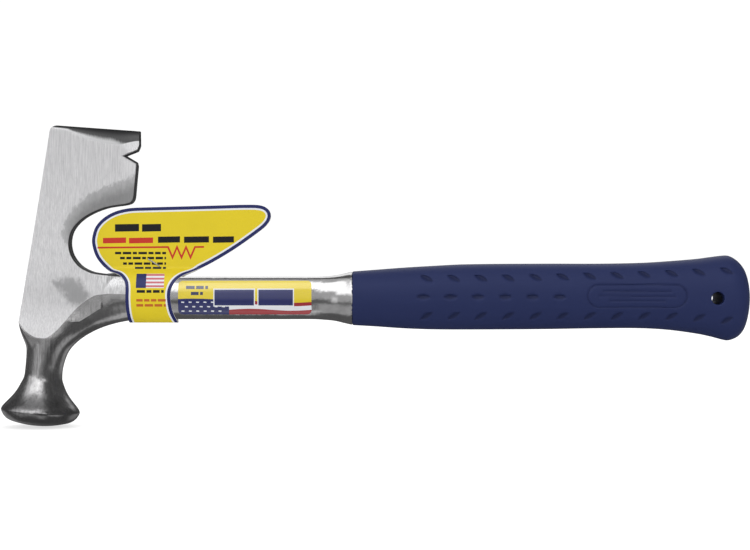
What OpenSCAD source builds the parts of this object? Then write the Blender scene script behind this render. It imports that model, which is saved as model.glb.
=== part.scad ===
// A hatchet with a moulded grip, a folded card tag stapled round its shank and a sticker.
// The handle lies along x with the head at -x; the cutting edge is up (+z), the striking face
// down (-z), and the front is -y. The hang hole runs along y through the origin.

/* [Handle] */
// Length of the moulded grip, from its end at the shank to the centre of the hang hole
grip_len = 170.8; // [169:0.1:171.8]
// Half height of the straight shank
shank_half_z = 10.1; // [9:0.1:11]
// Half thickness of the straight shank
shank_half_y = 5.6; // [5:0.1:5.8]
// Half thickness of the grip at the palm
palm_half_y = 12.5; // [11.5:0.1:13.5]
// Radius of the hang hole through the butt
hole_r = 3; // [2.5:0.1:3.5]
// Distance between the grip's dimples along the handle
dimple_pitch = 12.76; // [12:0.02:13]
// Depth of the grip's dimples
dimple_depth = 0.7; // [0.4:0.1:0.9]
// Half height of the tang inside the grip
tang_half_z = 8.4; // [7.5:0.1:9]
// Half thickness of the tang inside the grip
tang_half_y = 4.6; // [4:0.1:5]

/* [Head] */
// Radius of the striking face at its rim
face_r = 18.4; // [18:0.1:19.5]
// Radius of the round neck above the striking face
neck_r = 8.8; // [8.2:0.1:9.4]
// Height of the crown of the striking face
crown_h = 6.9; // [5:0.1:8]
// Angle between the head's axis and square to the handle, in degrees
head_tilt = 4; // [3:0.1:5]
// Half thickness of the blade just behind the cutting bevel
blade_half_y = 1.5; // [1.2:0.1:1.9]
// Half thickness left at the cutting edge
edge_half_y = 0.45; // [0.3:0.05:0.7]
// Distance along the handle from the hang hole to the centre of the striking face
face_x = 318.9; // [316:0.1:322]

/* [Tag] */
// Thickness of one leaf of the card tag
card = 0.42; // [0.3:0.02:0.5]
// Gap between the widest part of the shank and the tag's loop
tag_gap = 1; // [0.9:0.05:1.2]
// Thickness of the shank's sticker
label_thick = 0.14; // [0.1:0.01:0.2]
// Width of the wire of the staple
wire = 0.55; // [0.4:0.05:0.7]

/* [Hidden] */
$fn = 64;
set_back = 2.9;                     // x = 0 in the tables is this far from the hang hole, towards +x
bond = 0.06;                        // room for the bond between steel and grip
straight_from = -262;               // the shank's section is constant between these two
straight_to = -192;
shank_exponent = 2.15;
collar_x = -grip_len - set_back;    // where the bare steel ends and the grip begins
through = 40;                       // wider than the blade and the tag

// ---- curves and sections
// Section rows are [x, top, bottom, half thickness, exponent]. An exponent of 2 is an ellipse,
// and a higher one is squarer.

function slot_of(rows, x, i = 0) = i >= len(rows) - 2 || x < rows[i + 1][0] ? i : slot_of(rows, x, i + 1);
function slope(rows, i) =
    let (before = rows[max(i - 1, 0)], after = rows[min(i + 1, len(rows) - 1)])
    (after - before) / (after[0] - before[0]);

// the whole row at x, by smooth cubics between the rows of a table
function row_at(rows, x) =
    let (i = slot_of(rows, x), step = rows[i + 1][0] - rows[i][0], u = (x - rows[i][0]) / step)
    (2 * u * u * u - 3 * u * u + 1) * rows[i]
    + (u * u * u - 2 * u * u + u) * slope(rows, i) * step
    + (3 * u * u - 2 * u * u * u) * rows[i + 1]
    + (u * u * u - u * u) * slope(rows, i + 1) * step;

// a squared-off oval, as [thickness, height] points
function squared(v, exponent) = sign(v) * pow(abs(v), 2 / exponent);
function oval(half_z, half_y, exponent, count) =
    [for (i = [0:count - 1]) let (angle = 360 * (i + 0.5) / count)
        [half_y * squared(cos(angle), exponent), half_z * squared(sin(angle), exponent)]];

function row_ring(rows, x, count, grow) =
    let (row = row_at(rows, x), half_z = (row[1] - row[2]) / 2 + grow, middle = (row[1] + row[2]) / 2)
    [for (p = oval(half_z, row[3] + grow, row[4], count)) [x, p[0], middle + p[1]]];
function row_rings(rows, stations, count, grow = 0) =
    [for (x = stations) row_ring(rows, x, count, grow)];

// cubic Bezier through four control points
function bezier(p, u) =
    p[0] * pow(1 - u, 3) + 3 * p[1] * u * pow(1 - u, 2) + 3 * p[2] * u * u * (1 - u) + p[3] * pow(u, 3);

// smooth Catmull-Rom curve through points
function curve(points, steps) = concat(
    [for (i = [0:len(points) - 2]) for (k = [0:steps - 1])
        let (a = points[max(i - 1, 0)], b = points[i], c = points[i + 1],
             d = points[min(i + 2, len(points) - 1)], u = k / steps)
        0.5 * (2 * b + u * (c - a) + u * u * (2 * a - 5 * b + 4 * c - d)
            + u * u * u * (3 * b - a - 3 * c + d))],
    [points[len(points) - 1]]);

// skins a list of rings that all hold the same number of points
module skin(rings) {
    n = len(rings[0]);
    last = len(rings) - 1;
    polyhedron(
        points = [for (ring = rings) each ring],
        faces = concat(
            [for (j = [0:last - 1]) for (i = [0:n - 1])
                let (here = j * n + i, next = j * n + (i + 1) % n)
                each [[next + n, next, here], [here + n, next + n, here]]],
            [[for (i = [0:n - 1]) i]],
            [[for (i = [n - 1:-1:0]) last * n + i]]));
}

// stands a side-view drawing, [x, z], in the tool's plane, centred on y = 0
module side(width) rotate([90, 0, 0]) translate([0, 0, -width / 2]) linear_extrude(width) children();

// stands a cross-section, [y, z], square to the handle, from x over a length
module along_handle(x, length) translate([x, 0, 0]) rotate([90, 0, 90]) linear_extrude(length) children();

// ---- the shank, and the throat that bends it into the head
shank_rows = [
    [straight_from, shank_half_z, -shank_half_z, shank_half_y, shank_exponent],
    [straight_to, shank_half_z, -shank_half_z, shank_half_y, shank_exponent],
    [-187.5, shank_half_z + 0.1, -shank_half_z - 0.25, 5.75, shank_exponent],
    [-182, shank_half_z + 0.6, -shank_half_z - 0.8, 6.5, shank_exponent],
    [-177.5, shank_half_z + 1.5, -shank_half_z - 1.85, 7.9, shank_exponent],
    [collar_x, shank_half_z + 2.4, -shank_half_z - 2.7, 9.5, shank_exponent]];
shank_stations = [straight_from, straight_to, -189.5, -187, -184.5, -182, -179.5, -177, -175, collar_x];

// Each throat section joins a point of the inner curve, under the shank and on the handle side
// of the neck, to a point of the outer curve, inside the head and along the top of the shank.
bend_share = 0.62;          // share of the throat's run, u from 0 to 1, that is the bend
bend_centre = [-270, -35];  // [x, z] of the inner curve's quarter ellipse
bend_reach = 41.7;          // its half width along x
throat_sections = 18;
throat_thickness = [        // [u, half thickness]
    [0, 8.6], [0.14, 8.3], [0.24, 7.6], [0.32, 7.1], [0.38, 6.7], [0.43, 6.35], [0.47, 6.12],
    [0.52, shank_half_y + 0.33], [0.565, shank_half_y + 0.18], [bend_share, shank_half_y + 0.04],
    [1, shank_half_y]];

function inner_curve(u) = u < bend_share
    ? let (angle = 90 * u / bend_share)
        bend_centre + [-bend_reach * cos(angle), (-shank_half_z - bend_centre[1]) * sin(angle)]
    : [bend_centre[0] + (straight_from - bend_centre[0]) * (u - bend_share) / (1 - bend_share),
       -shank_half_z];
function outer_curve(u) = u < bend_share
    ? bezier([[-328.2, -33], [-327, -16], [-309, 11.5], [-289, 11.6]], u / bend_share)
    : bezier([[-289, 11.6], [-281, 11.5], [-270, shank_half_z + 0.1], [straight_from, shank_half_z]],
        (u - bend_share) / (1 - bend_share));
function throat_ring(u, count) =
    let (inner = inner_curve(u), outer = outer_curve(u), middle = (inner + outer) / 2,
         half = (outer - inner) / 2, half_y = row_at(throat_thickness, u)[1])
    [for (p = oval(1, 1, shank_exponent, count))
        [middle[0] + half[0] * p[1], half_y * p[0], middle[1] + half[1] * p[1]]];

module handle_bar() {
    count = 36;
    skin(concat(
        [for (k = [0:throat_sections - 1]) throat_ring(k / throat_sections, count)],
        row_rings(shank_rows, shank_stations, count)));
}

// ---- the tang inside the grip
tang_rows = [
    [-176, tang_half_z + 0.6, -tang_half_z - 0.6, tang_half_y + 0.4, 2.6],
    [-160, tang_half_z, -tang_half_z, tang_half_y, 2.6],
    [-90, tang_half_z - 0.6, -tang_half_z + 0.6, tang_half_y - 0.3, 2.6],
    [-30, tang_half_z - 0.2, -tang_half_z + 0.2, tang_half_y - 0.3, 2.6],
    [-14, tang_half_z + 2.4, -tang_half_z - 2.4, tang_half_y, 2.8],
    [-9, tang_half_z + 2.8, -tang_half_z - 2.8, tang_half_y, 3.2]];
tang_stations = [-176, -168, -160, -125, -90, -60, -40, -30, -24, -19, -14, -11, -9];

module tang(grow = 0) skin(row_rings(tang_rows, tang_stations, 28, grow));

// ---- the blade
// Side view as [x, z]: the cutting edge at the top, the notch on the handle side and the
// beard's curve below it.
beard = [[-276.6, 48.5], [-277.3, 46], [-279.9, 44.2], [-289.6, 42.6], [-297.5, 39.5],
    [-302.9, 35.7], [-306.3, 31], [-307.3, 25.5], [-306, 20.1], [-302.4, 15.4], [-297.5, 12.7],
    [-293.2, 11.8], [-287, 11.1], [-279.5, 10.4]];
notch_apex = [-280.5, 67.2];
blade_outline = concat(
    [[-330.8, -11.6], [-317.1, 79.6], [-316.6, 81], [-315.4, 82.2], [-312.5, 82.8], [-309.4, 82.8],
     [-274.8, 79], [-274.1, 78.2], [-274.1, 72.6], [-274.6, 69.6], notch_apex, [-275.6, 64.4],
     [-275.4, 62]],
    curve(beard, 4),
    [[-279.5, 4], [-291, -4], [-302, -11]]);

// [height, half thickness] of the cheeks: thin behind the edge, hollow, then full at the neck
cheek_lean = 6.2;
cheek = [[87, blade_half_y - 0.05], [76, blade_half_y + 0.05], [60, blade_half_y + 0.45],
    [45, blade_half_y + 1.1], [30, blade_half_y + 2.05], [22, blade_half_y + 2.7],
    [15, blade_half_y + 3.35], [10, blade_half_y + 3.8], [5.5, blade_half_y + 4.2],
    [1.5, blade_half_y + 4.45], [-3, blade_half_y + 4.8], [-9, blade_half_y + 5.55],
    [-15, blade_half_y + 6.6], [-19, blade_half_y + 7.35], [-24, blade_half_y + 8.5],
    [-40, blade_half_y + 11]];

// The same columns for the cutting bevel, which leans more and so is deeper towards the handle
bevel_lean = 9.2;
bevel = [[85.4, edge_half_y], [78.2, blade_half_y + 0.02], [60, blade_half_y + 9],
    [-50, blade_half_y + 9]];

// Where the round neck spreads into the blade: [z, head-end x, handle-side x, half thickness, exponent]
root_rows = [
    [-40, -328.9, -312.1, 8.5, 2], [-35, -328.3, -312, 8.55, 2], [-30, -327.6, -311, 8.6, 2],
    [-26, -327.9, -309.5, 8.7, 2.1], [-22, -328.5, -307, 8.75, 2.4],
    [-18.5, -329.5, -304.5, 8.7, 2.9], [-15.2, -330.4, -302, 8.6, 4.2],
    [-12, -330.85, -300, 8.4, 8], [-8, -330.3, -298, 8.2, 14]];
root_stations = [-40, -35, -30, -28, -26, -24, -22, -20.2, -18.5, -16.8, -15.2, -13.6, -12, -10, -8];

function root_ring(z) =
    let (row = row_at(root_rows, z))
    [for (p = oval(1, 1, row[4], 40))
        [(row[1] + row[2]) / 2 + (row[1] - row[2]) / 2 * p[1], row[3] * p[0], z]];
module blade_root() skin([for (z = root_stations) root_ring(z)]);

// a section of [height, half thickness] rows, mirrored and run along the leaning cutting edge
module along_edge(lean, rows)
    translate([-320, 0, 0]) rotate([0, lean, 0]) along_handle(-60, 140)
        polygon(concat(
            [for (row = rows) [row[1], row[0]]],
            [for (i = [len(rows) - 1:-1:0]) [-rows[i][1], rows[i][0]]]));

// the V notch widens towards each face; face is -1 or 1
module notch_sink(face) {
    sheet = 0.02;
    hull() {
        translate([0, face * 0.35, 0]) side(sheet) polygon([[-264, 73.8], notch_apex, [-264, 57.8]]);
        translate([0, face * 2.4, 0]) side(sheet) polygon([[-264, 75.6], [-283.4, 67.5], [-264, 55.6]]);
    }
}

// cuts where the cheeks run out into the round of the shank
module cheek_run_out(face)
    translate([0, 0, -20]) linear_extrude(32.2)
        polygon([[-300, face * 9], [-279, face * 1.2], [-270, face * 1.2],
            [-270, face * 12], [-300, face * 12]]);

module blade() {
    difference() {
        intersection() {
            union() {
                side(through) polygon(blade_outline);
                blade_root();
            }
            along_edge(cheek_lean, cheek);
            along_edge(bevel_lean, bevel);
        }
        for (face = [-1, 1]) {
            notch_sink(face);
            cheek_run_out(face);
        }
    }
}

// ---- the striking end: a crowned face on a bell, turned about the head's own axis
face_z = -53.7;     // height of the bell's origin
flare_z = 2.4;      // the flare from rim to neck starts here on the bell's axis
flare_h = 16.1;
flare_out = 8.9;    // how far the flare starts outside the neck
flare_steps = 12;
bell = concat(      // [radius, height]: crown, rim, flare, neck
    [for (r = [0:2.5:15]) [r, -crown_h + r * r / 92]],
    [[16.6, -3.6], [17.8, -2.1], [18.2, -0.9], [face_r, 0.2], [18.2, 1.3], [17.6, flare_z]],
    [for (k = [1:flare_steps]) let (u = k / flare_steps)
        [neck_r + flare_out * pow(1 - u, 1.9), flare_z + flare_h * u]],
    [[neck_r, 24], [neck_r - 0.3, 33], [0, 34]]);

module striking_end()
    translate([-face_x - set_back, 0, face_z]) rotate([0, head_tilt, 0]) rotate_extrude() polygon(bell);

module forging() {
    color("silver") union() {
        handle_bar();
        tang();
        blade();
        striking_end();
    }
}

// ---- the moulded grip
grip_rows = [
    [collar_x, 12.6, -12.9, 9.9, 2.15],
    [-163, 13.4, -13.5, 10.7, 2.15],
    [-149.8, 14.4, -14.4, 11.6, 2.2],
    [-136.5, 15.2, -14.9, palm_half_y - 0.3, 2.2],
    [-120, 16, -15, palm_half_y, 2.25],
    [-83, 16.3, -14.8, palm_half_y, 2.25],
    [-56.7, 16.3, -14.4, palm_half_y - 0.2, 2.25],
    [-36.7, 16.7, -14.4, palm_half_y + 0.1, 2.25],
    [-23.5, 17.5, -15.2, palm_half_y + 0.5, 2.25],
    [-10.2, 18.6, -17, palm_half_y + 1.1, 2.25],
    [-3.5, 19.5, -18.4, palm_half_y + 1.6, 2.25],
    [3.2, 20.2, -20.1, palm_half_y + 1.9, 2.25],
    [5.4, 19.7, -19.9, palm_half_y + 1.8, 2.25],
    [7.9, 18.2, -18.9, palm_half_y + 1.3, 2.2],
    [9.8, 16.4, -17.4, palm_half_y + 0.2, 2.2],
    [11.6, 13.9, -14.8, palm_half_y - 1.8, 2.15],
    [13, 10.5, -10.8, palm_half_y - 4.6, 2.1],
    [14.1, 6.1, -5.9, palm_half_y - 8.3, 2],
    [14.8, 0.5, -0.5, 0.4, 2]];
grip_stations = [collar_x + bond, -168, -163, -156, -150, -143, -136, -128, -120, -108, -96, -83,
    -70, -57, -47, -37, -30, -23.5, -17, -10.2, -7, -3.5, 0, 2, 3.2, 4.3, 5.4, 6.6, 7.9, 8.9, 9.8,
    10.8, 11.6, 12.4, 13, 13.6, 14.1, 14.5, 14.8];

dimple_r = 1.9;             // radius of the round-ended slot that makes a dimple
dimple_len = 3.6;           // between the centres of its ends
dimple_exponent = 2.25;     // section exponent used to find the surface under a dimple

// one dimple on each face of the grip, turned in side view and sunk in the surface
module dimple(x, z, turn) {
    row = row_at(grip_rows, x);
    half_z = (row[1] - row[2]) / 2;
    middle = (row[1] + row[2]) / 2;
    surface_y = row[3] * pow(1 - pow(abs(z - middle) / half_z, dimple_exponent), 1 / dimple_exponent);
    for (face = [-1, 1])
        translate([x, face * (surface_y + dimple_r - dimple_depth), z]) rotate([0, turn, 0]) {
            rotate([0, 90, 0]) cylinder(r = dimple_r, h = dimple_len, center = true, $fn = 16);
            for (end = [-1, 1])
                translate([end * dimple_len / 2, 0, 0]) sphere(r = dimple_r, $fn = 16);
        }
}

// an upper and a lower row of twelve, and a middle row of six
module dimples() {
    for (k = [0:11]) {
        x = -138.8 + dimple_pitch * k;
        dimple(x, 9.17 + 0.029 * k * k, 25);
        dimple(x, -8.4 - 2 * pow(max(k - 8, 0) / 3, 2), -30);
    }
    for (k = [0:5]) dimple(-140.4 + dimple_pitch * k, 0.55, 0);
}

module grip() {
    color([0.12, 0.15, 0.36]) difference() {
        skin(row_rings(grip_rows, grip_stations, 40));
        tang(bond);
        translate([-set_back, 0, 0]) rotate([90, 0, 0]) cylinder(r = hole_r, h = 60, center = true);
        dimples();
    }
}

// ---- the card tag: one card folded under the shank, its two leaves meeting above it
leaf_gap = 0.02;                                // between the two leaves
loop_half_y = shank_half_y + tag_gap + card / 2;
loop_wide_z = 1;                                // height where the loop is widest
loop_bottom_z = -(shank_half_z + 1.2 + card / 2);
leaf_steps = 30;

// middle of the card's +y half as [y, z]: down from the meeting of the leaves, then under the shank
function leaf(u) = u < 0.5
    ? bezier([[(card + leaf_gap) / 2, 14.6], [(card + leaf_gap) / 2, 12.6],
        [loop_half_y, 12.8], [loop_half_y, loop_wide_z]], u * 2)
    : let (angle = 90 * (u - 0.5) * 2)
        [loop_half_y * cos(angle), loop_wide_z - (loop_wide_z - loop_bottom_z) * sin(angle)];
function leaf_offset(u, out) =
    let (run = leaf(min(u + 0.002, 1)) - leaf(max(u - 0.002, 0)), along = run / norm(run))
    leaf(u) + out * [-along[1], along[0]];
function loop_outline(out) =
    let (half = [for (k = [0:leaf_steps]) leaf_offset(k / leaf_steps, out)])
    concat(half, [for (i = [len(half) - 2:-1:0]) [-half[i][0], half[i][1]]]);

// side view as [x, z]: up the head side, then over the top and down the grip side
tag_head_side = [[-278.8, -12.6], [-279.7, -9.4], [-280.3, -6], [-280.5, 0], [-280.5, 5.2],
    [-281.3, 8.2], [-284, 11], [-288.6, 12.7], [-292.2, 15.4], [-295.5, 20], [-297.1, 25.6],
    [-296.9, 29.6], [-295.3, 34], [-291.6, 38], [-286.2, 41], [-279.4, 42.6], [-271, 43]];
tag_grip_side = [[-271, 43], [-255, 43.4], [-240, 43.8], [-225, 44.2], [-217.4, 43.9],
    [-213.6, 42], [-212.4, 38.6], [-214.4, 34.6], [-220, 30], [-230, 23], [-240, 17], [-248, 13],
    [-254, 10.4], [-257.4, 7.4], [-259.2, 3.4], [-259.3, -1], [-258.5, -6], [-257.2, -10],
    [-255.8, -12.6]];

module hang_tag() {
    color("gold") intersection() {
        side(through) polygon(concat(curve(tag_head_side, 3), curve(tag_grip_side, 3)));
        union() {
            difference() {
                along_handle(-310, 120) polygon(loop_outline(card / 2));
                along_handle(-311, 122) polygon(loop_outline(-card / 2));
            }
            // both leaves together, above the loop
            along_handle(-310, 120) translate([0, 29.4]) square([2 * card + leaf_gap, 30], center = true);
        }
    }
}

// ---- the staple: a wire crown on the front leaf, legs through both, tips folded behind
staple_w = 6.2;     // between the legs' centres
staple_tip = 2.4;

module tag_staple() {
    y = card + leaf_gap / 2 + wire / 2 + 0.02;
    color("gainsboro") translate([-267.9, 0, 16.8]) rotate([0, 33, 0]) {
        translate([0, -y, 0]) cube([staple_w + wire, wire, wire], center = true);
        for (end = [-1, 1]) {
            translate([end * staple_w / 2, 0, 0]) cube([wire, 2 * y + wire, wire], center = true);
            translate([end * (staple_w - staple_tip) / 2, y, 0])
                cube([staple_tip + wire, wire, wire], center = true);
        }
    }
}

// ---- the sticker on the front of the shank
label_len = 63.2;
label_h = 16;
label_corner = 2;
label_gap = 0.03;   // between steel and sticker

module label_shape() {
    square([label_len, label_h - 2 * label_corner], center = true);
    square([label_len - 2 * label_corner, label_h], center = true);
    for (sx = [-1, 1]) for (sy = [-1, 1])
        translate([sx * (label_len / 2 - label_corner), sy * (label_h / 2 - label_corner)])
            circle(r = label_corner);
}

module shank_oval(grow) polygon(oval(shank_half_z + grow, shank_half_y + grow, shank_exponent, 72));

module shank_label() {
    length = straight_to - straight_from;
    color("yellow") intersection() {
        translate([-224.4, -10, 0.25]) rotate([90, 0, 0]) linear_extrude(20, center = true) label_shape();
        difference() {
            along_handle(straight_from, length) shank_oval(label_gap + label_thick);
            along_handle(straight_from - 1, length + 2) shank_oval(label_gap);
        }
    }
}

// puts the hang hole's axis on the origin
module placed() translate([set_back, 0, 0]) children();

placed() forging();
placed() grip();
placed() hang_tag();
placed() tag_staple();
placed() shank_label();
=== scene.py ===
import bpy, math
import numpy as np
from mathutils import Matrix, Vector
from mathutils.geometry import delaunay_2d_cdt


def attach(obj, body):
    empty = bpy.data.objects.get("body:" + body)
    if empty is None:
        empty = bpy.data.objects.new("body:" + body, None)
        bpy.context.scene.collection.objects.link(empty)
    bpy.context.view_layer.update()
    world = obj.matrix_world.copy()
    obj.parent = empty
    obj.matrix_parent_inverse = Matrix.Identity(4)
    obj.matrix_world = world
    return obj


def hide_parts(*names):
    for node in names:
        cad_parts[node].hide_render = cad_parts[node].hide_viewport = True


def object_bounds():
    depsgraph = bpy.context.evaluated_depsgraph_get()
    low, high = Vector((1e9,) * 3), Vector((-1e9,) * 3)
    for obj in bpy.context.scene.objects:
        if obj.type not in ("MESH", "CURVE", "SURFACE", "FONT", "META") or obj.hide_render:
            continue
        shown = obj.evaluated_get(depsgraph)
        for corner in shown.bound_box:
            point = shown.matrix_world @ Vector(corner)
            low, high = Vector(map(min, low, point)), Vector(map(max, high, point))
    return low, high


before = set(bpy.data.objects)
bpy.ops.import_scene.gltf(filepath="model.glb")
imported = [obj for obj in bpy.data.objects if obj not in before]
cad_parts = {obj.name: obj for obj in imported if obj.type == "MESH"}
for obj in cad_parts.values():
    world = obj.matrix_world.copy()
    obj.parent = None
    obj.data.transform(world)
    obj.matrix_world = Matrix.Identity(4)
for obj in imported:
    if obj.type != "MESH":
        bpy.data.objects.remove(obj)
cad_lo, cad_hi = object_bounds()
MM = 0.001
rng = np.random.default_rng(11)

# ------------------------------------------------------------------ small helpers (all shapes are worked out in mm)

def table(rows, col, dense=6000):
    """A smooth cubic through rows[i][0] -> rows[i][col], as a fast function."""
    x = np.array([r[0] for r in rows], float)
    y = np.array([r[col] for r in rows], float)
    m = np.empty_like(y)
    m[1:-1] = (y[2:] - y[:-2]) / (x[2:] - x[:-2])
    m[0] = (y[1] - y[0]) / (x[1] - x[0])
    m[-1] = (y[-1] - y[-2]) / (x[-1] - x[-2])
    q = np.linspace(x[0], x[-1], dense)
    i = np.clip(np.searchsorted(x, q) - 1, 0, len(x) - 2)
    h = x[i + 1] - x[i]
    u = (q - x[i]) / h
    v = ((2 * u**3 - 3 * u**2 + 1) * y[i] + (u**3 - 2 * u**2 + u) * m[i] * h
         + (3 * u**2 - 2 * u**3) * y[i + 1] + (u**3 - u**2) * m[i + 1] * h)
    return lambda t: np.interp(t, q, v)


def smoothstep(a, b, t):
    u = np.clip((t - a) / (b - a), 0, 1)
    return u * u * (3 - 2 * u)


def smin(a, b, k):
    h = np.clip(0.5 + 0.5 * (b - a) / k, 0, 1)
    return b + (a - b) * h - k * h * (1 - h)


def smax(a, b, k):
    return -smin(-a, -b, k)


def catmull(points, steps):
    p = np.array(points, float)
    out = []
    for i in range(len(p) - 1):
        a, b, c, d = p[max(i - 1, 0)], p[i], p[i + 1], p[min(i + 2, len(p) - 1)]
        for k in range(steps):
            u = k / steps
            out.append(0.5 * (2 * b + u * (c - a) + u * u * (2 * a - 5 * b + 4 * c - d) + u**3 * (3 * b - a - 3 * c + d)))
    out.append(p[-1])
    return np.array(out)


def fillet(points, radii, steps=6):
    """Rounds the corners of a closed polygon."""
    p = np.array(points, float)
    n = len(p)
    out = []
    for i in range(n):
        r = radii[i]
        b = p[i]
        if r <= 0:
            out.append(b)
            continue
        u = p[i - 1] - b
        v = p[(i + 1) % n] - b
        lu, lv = np.linalg.norm(u), np.linalg.norm(v)
        u, v = u / lu, v / lv
        half = 0.5 * math.acos(max(-1, min(1, float(u @ v))))
        cut = min(r / math.tan(half), 0.45 * lu, 0.45 * lv)
        r = cut * math.tan(half)
        c = b + (u + v) / np.linalg.norm(u + v) * (r / math.sin(half))
        s, e = b + u * cut - c, b + v * cut - c
        a0, a1 = math.atan2(s[1], s[0]), math.atan2(e[1], e[0])
        d = (a1 - a0 + math.pi) % (2 * math.pi) - math.pi
        for k in range(steps + 1):
            a = a0 + d * k / steps
            out.append(c + abs(r) * np.array([math.cos(a), math.sin(a)]))
    return np.array(out)


def poly_distance(px, pz, poly):
    """Signed distance to a closed polygon, negative inside."""
    px, pz = np.asarray(px, float).ravel(), np.asarray(pz, float).ravel()
    out = np.empty(len(px))
    a = poly
    b = np.roll(poly, -1, 0)
    e = b - a
    ee = (e * e).sum(1)
    for s in range(0, len(px), 40000):
        x, z = px[s:s + 40000, None], pz[s:s + 40000, None]
        wx, wz = x - a[:, 0], z - a[:, 1]
        t = np.clip((wx * e[:, 0] + wz * e[:, 1]) / ee, 0, 1)
        d = np.sqrt(((wx - t * e[:, 0]) ** 2 + (wz - t * e[:, 1]) ** 2).min(1))
        up = (a[:, 1] <= z) & (b[:, 1] > z)
        dn = (a[:, 1] > z) & (b[:, 1] <= z)
        cr = e[:, 0] * wz - e[:, 1] * wx
        wind = (up & (cr > 0)).sum(1) - (dn & (cr < 0)).sum(1)
        out[s:s + 40000] = np.where(wind != 0, -d, d)
    return out


def new_mesh(name, verts_mm, faces):
    me = bpy.data.meshes.new(name)
    me.from_pydata((np.asarray(verts_mm, float) * MM).tolist(), [], [list(map(int, f)) for f in faces])
    me.update()
    ob = bpy.data.objects.new(name, me)
    bpy.context.scene.collection.objects.link(ob)
    return ob


# ------------------------------------------------------------------ the forging as one smooth solid field

LEAN = math.radians(6.2)           # the cutting edge leans off the handle's line
CA, SA = math.cos(LEAN), math.sin(LEAN)
edge_at = lambda x: 83.5 - 1.55 * np.clip((-274.1 - x) / 42.7, 0, 1.2)     # height of the cutting edge, square to the lean
cheek_h = table([[-90, 95], [-60, 60], [-45, 32], [-37, 18], [-33, 13], [-30, 11.2], [-24, 10], [-19, 8.85], [-15, 8.1], [-9, 7.05], [-3, 6.3], [1.5, 5.95], [5.5, 5.7],
                 [10, 5.3], [15, 4.85], [22, 4.2], [30, 3.55], [45, 2.6], [60, 1.95], [76, 1.6], [84, 1.5], [100, 1.4]], 1)
bevel_depth = table([[-345, 0.5], [-320, 0.6], [-315.5, 1.3], [-311, 1.6], [-308.4, 2.0], [-306.2, 3.2], [-299.8, 5.2], [-294.4, 6.4], [-290.3, 7.0], [-285.5, 7.3], [-282.7, 6.9],
                     [-279.3, 5.8], [-275.5, 4.9], [-262, 4]], 1)
beard = catmull([[-276.6, 48.5], [-277.3, 46], [-279.9, 44.2], [-289.6, 42.6], [-297.5, 39.5], [-302.9, 35.7], [-306.3, 31],
                 [-307.3, 25.5], [-306, 20.1], [-302.4, 15.4], [-297.5, 12.7], [-293.2, 11.8], [-287, 11.1], [-279.5, 10.4]], 7)
blade_outline = np.concatenate([
    fillet([[-330.8, -11.6], [-316.8, 82.1], [-274.1, 79.05], [-274.1, 72.0], [-275.0, 69.8], [-250, 79.7], [-250, 50], [-275.5, 64.6],
            [-275.3, 62.6], [-276.6, 48.5]], [0, 3.4, 0.5, 0.8, 0, 0, 0, 0.4, 0, 0], 7)[:-1], beard, [[-279.5, 4], [-291, -4], [-302, -11]]])
# the notch's outside is cut by its own planes below, so the outline here just closes over it
blade_outline = np.array([p for p in blade_outline if p[0] < -260])
NOTCH = np.array([-280.5, 67.2])
N1, N2 = np.array([-0.3704, 0.9289]), np.array([-0.5094, -0.8605])

COLLAR = -173.7                    # where the steel ends and the grip begins
shank_rows = [[-275, 10.1, -10.1, 5.62, 2.15], [-262, 10.1, -10.1, 5.6, 2.15], [-250, 10.1, -10.1, 5.6, 2.15], [-205, 10.1, -10.1, 5.6, 2.15],
              [-192, 10.1, -10.1, 5.6, 2.15], [-187.5, 10.2, -10.35, 5.75, 2.15], [-182, 10.7, -10.9, 6.5, 2.15],
              [-177.5, 11.6, -11.95, 7.9, 2.15], [COLLAR, 12.5, -12.8, 9.5, 2.15], [-168, 13.6, -14, 11.2, 2.15]]
s_top, s_bot, s_b = table(shank_rows, 1), table(shank_rows, 2), table(shank_rows, 3)
tang_rows = [[-176, 9, -9, 5, 2.6], [-160, 8.4, -8.4, 4.6, 2.6], [-90, 7.8, -7.8, 4.3, 2.6], [-30, 8.2, -8.2, 4.3, 2.6],
             [-14, 10.8, -10.8, 4.6, 2.8], [-9, 11.2, -11.2, 4.6, 3.2]]
t_top, t_b = table(tang_rows, 1), table(tang_rows, 3)

# the bent bar of the throat, in elliptic polar coordinates about the centre of its inner curve; w in degrees
throat_out = table([[-20, 1.405], [0, 1.405], [12, 1.425], [25, 1.47], [37, 1.55], [48, 1.66], [58, 1.79], [66, 1.88], [74, 1.93], [80, 1.915],
                    [85, 1.87], [90, 1.8153], [110, 1.8153]], 1)
throat_b = table([[-20, 8.6], [0, 8.6], [20, 8.3], [35, 7.5], [42, 6.95], [47.5, 6.55], [52, 6.33], [56.7, 6.13], [60.3, 6.12], [63.4, 6.02], [69, 5.87], [75, 5.76], [82, 5.67], [90, 5.61], [110, 5.6]], 1)
throat_n = table([[-20, 2], [0, 2.0], [20, 2.15], [40, 2.45], [60, 2.5], [80, 2.3], [90, 2.15], [110, 2.15]], 1)

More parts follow.
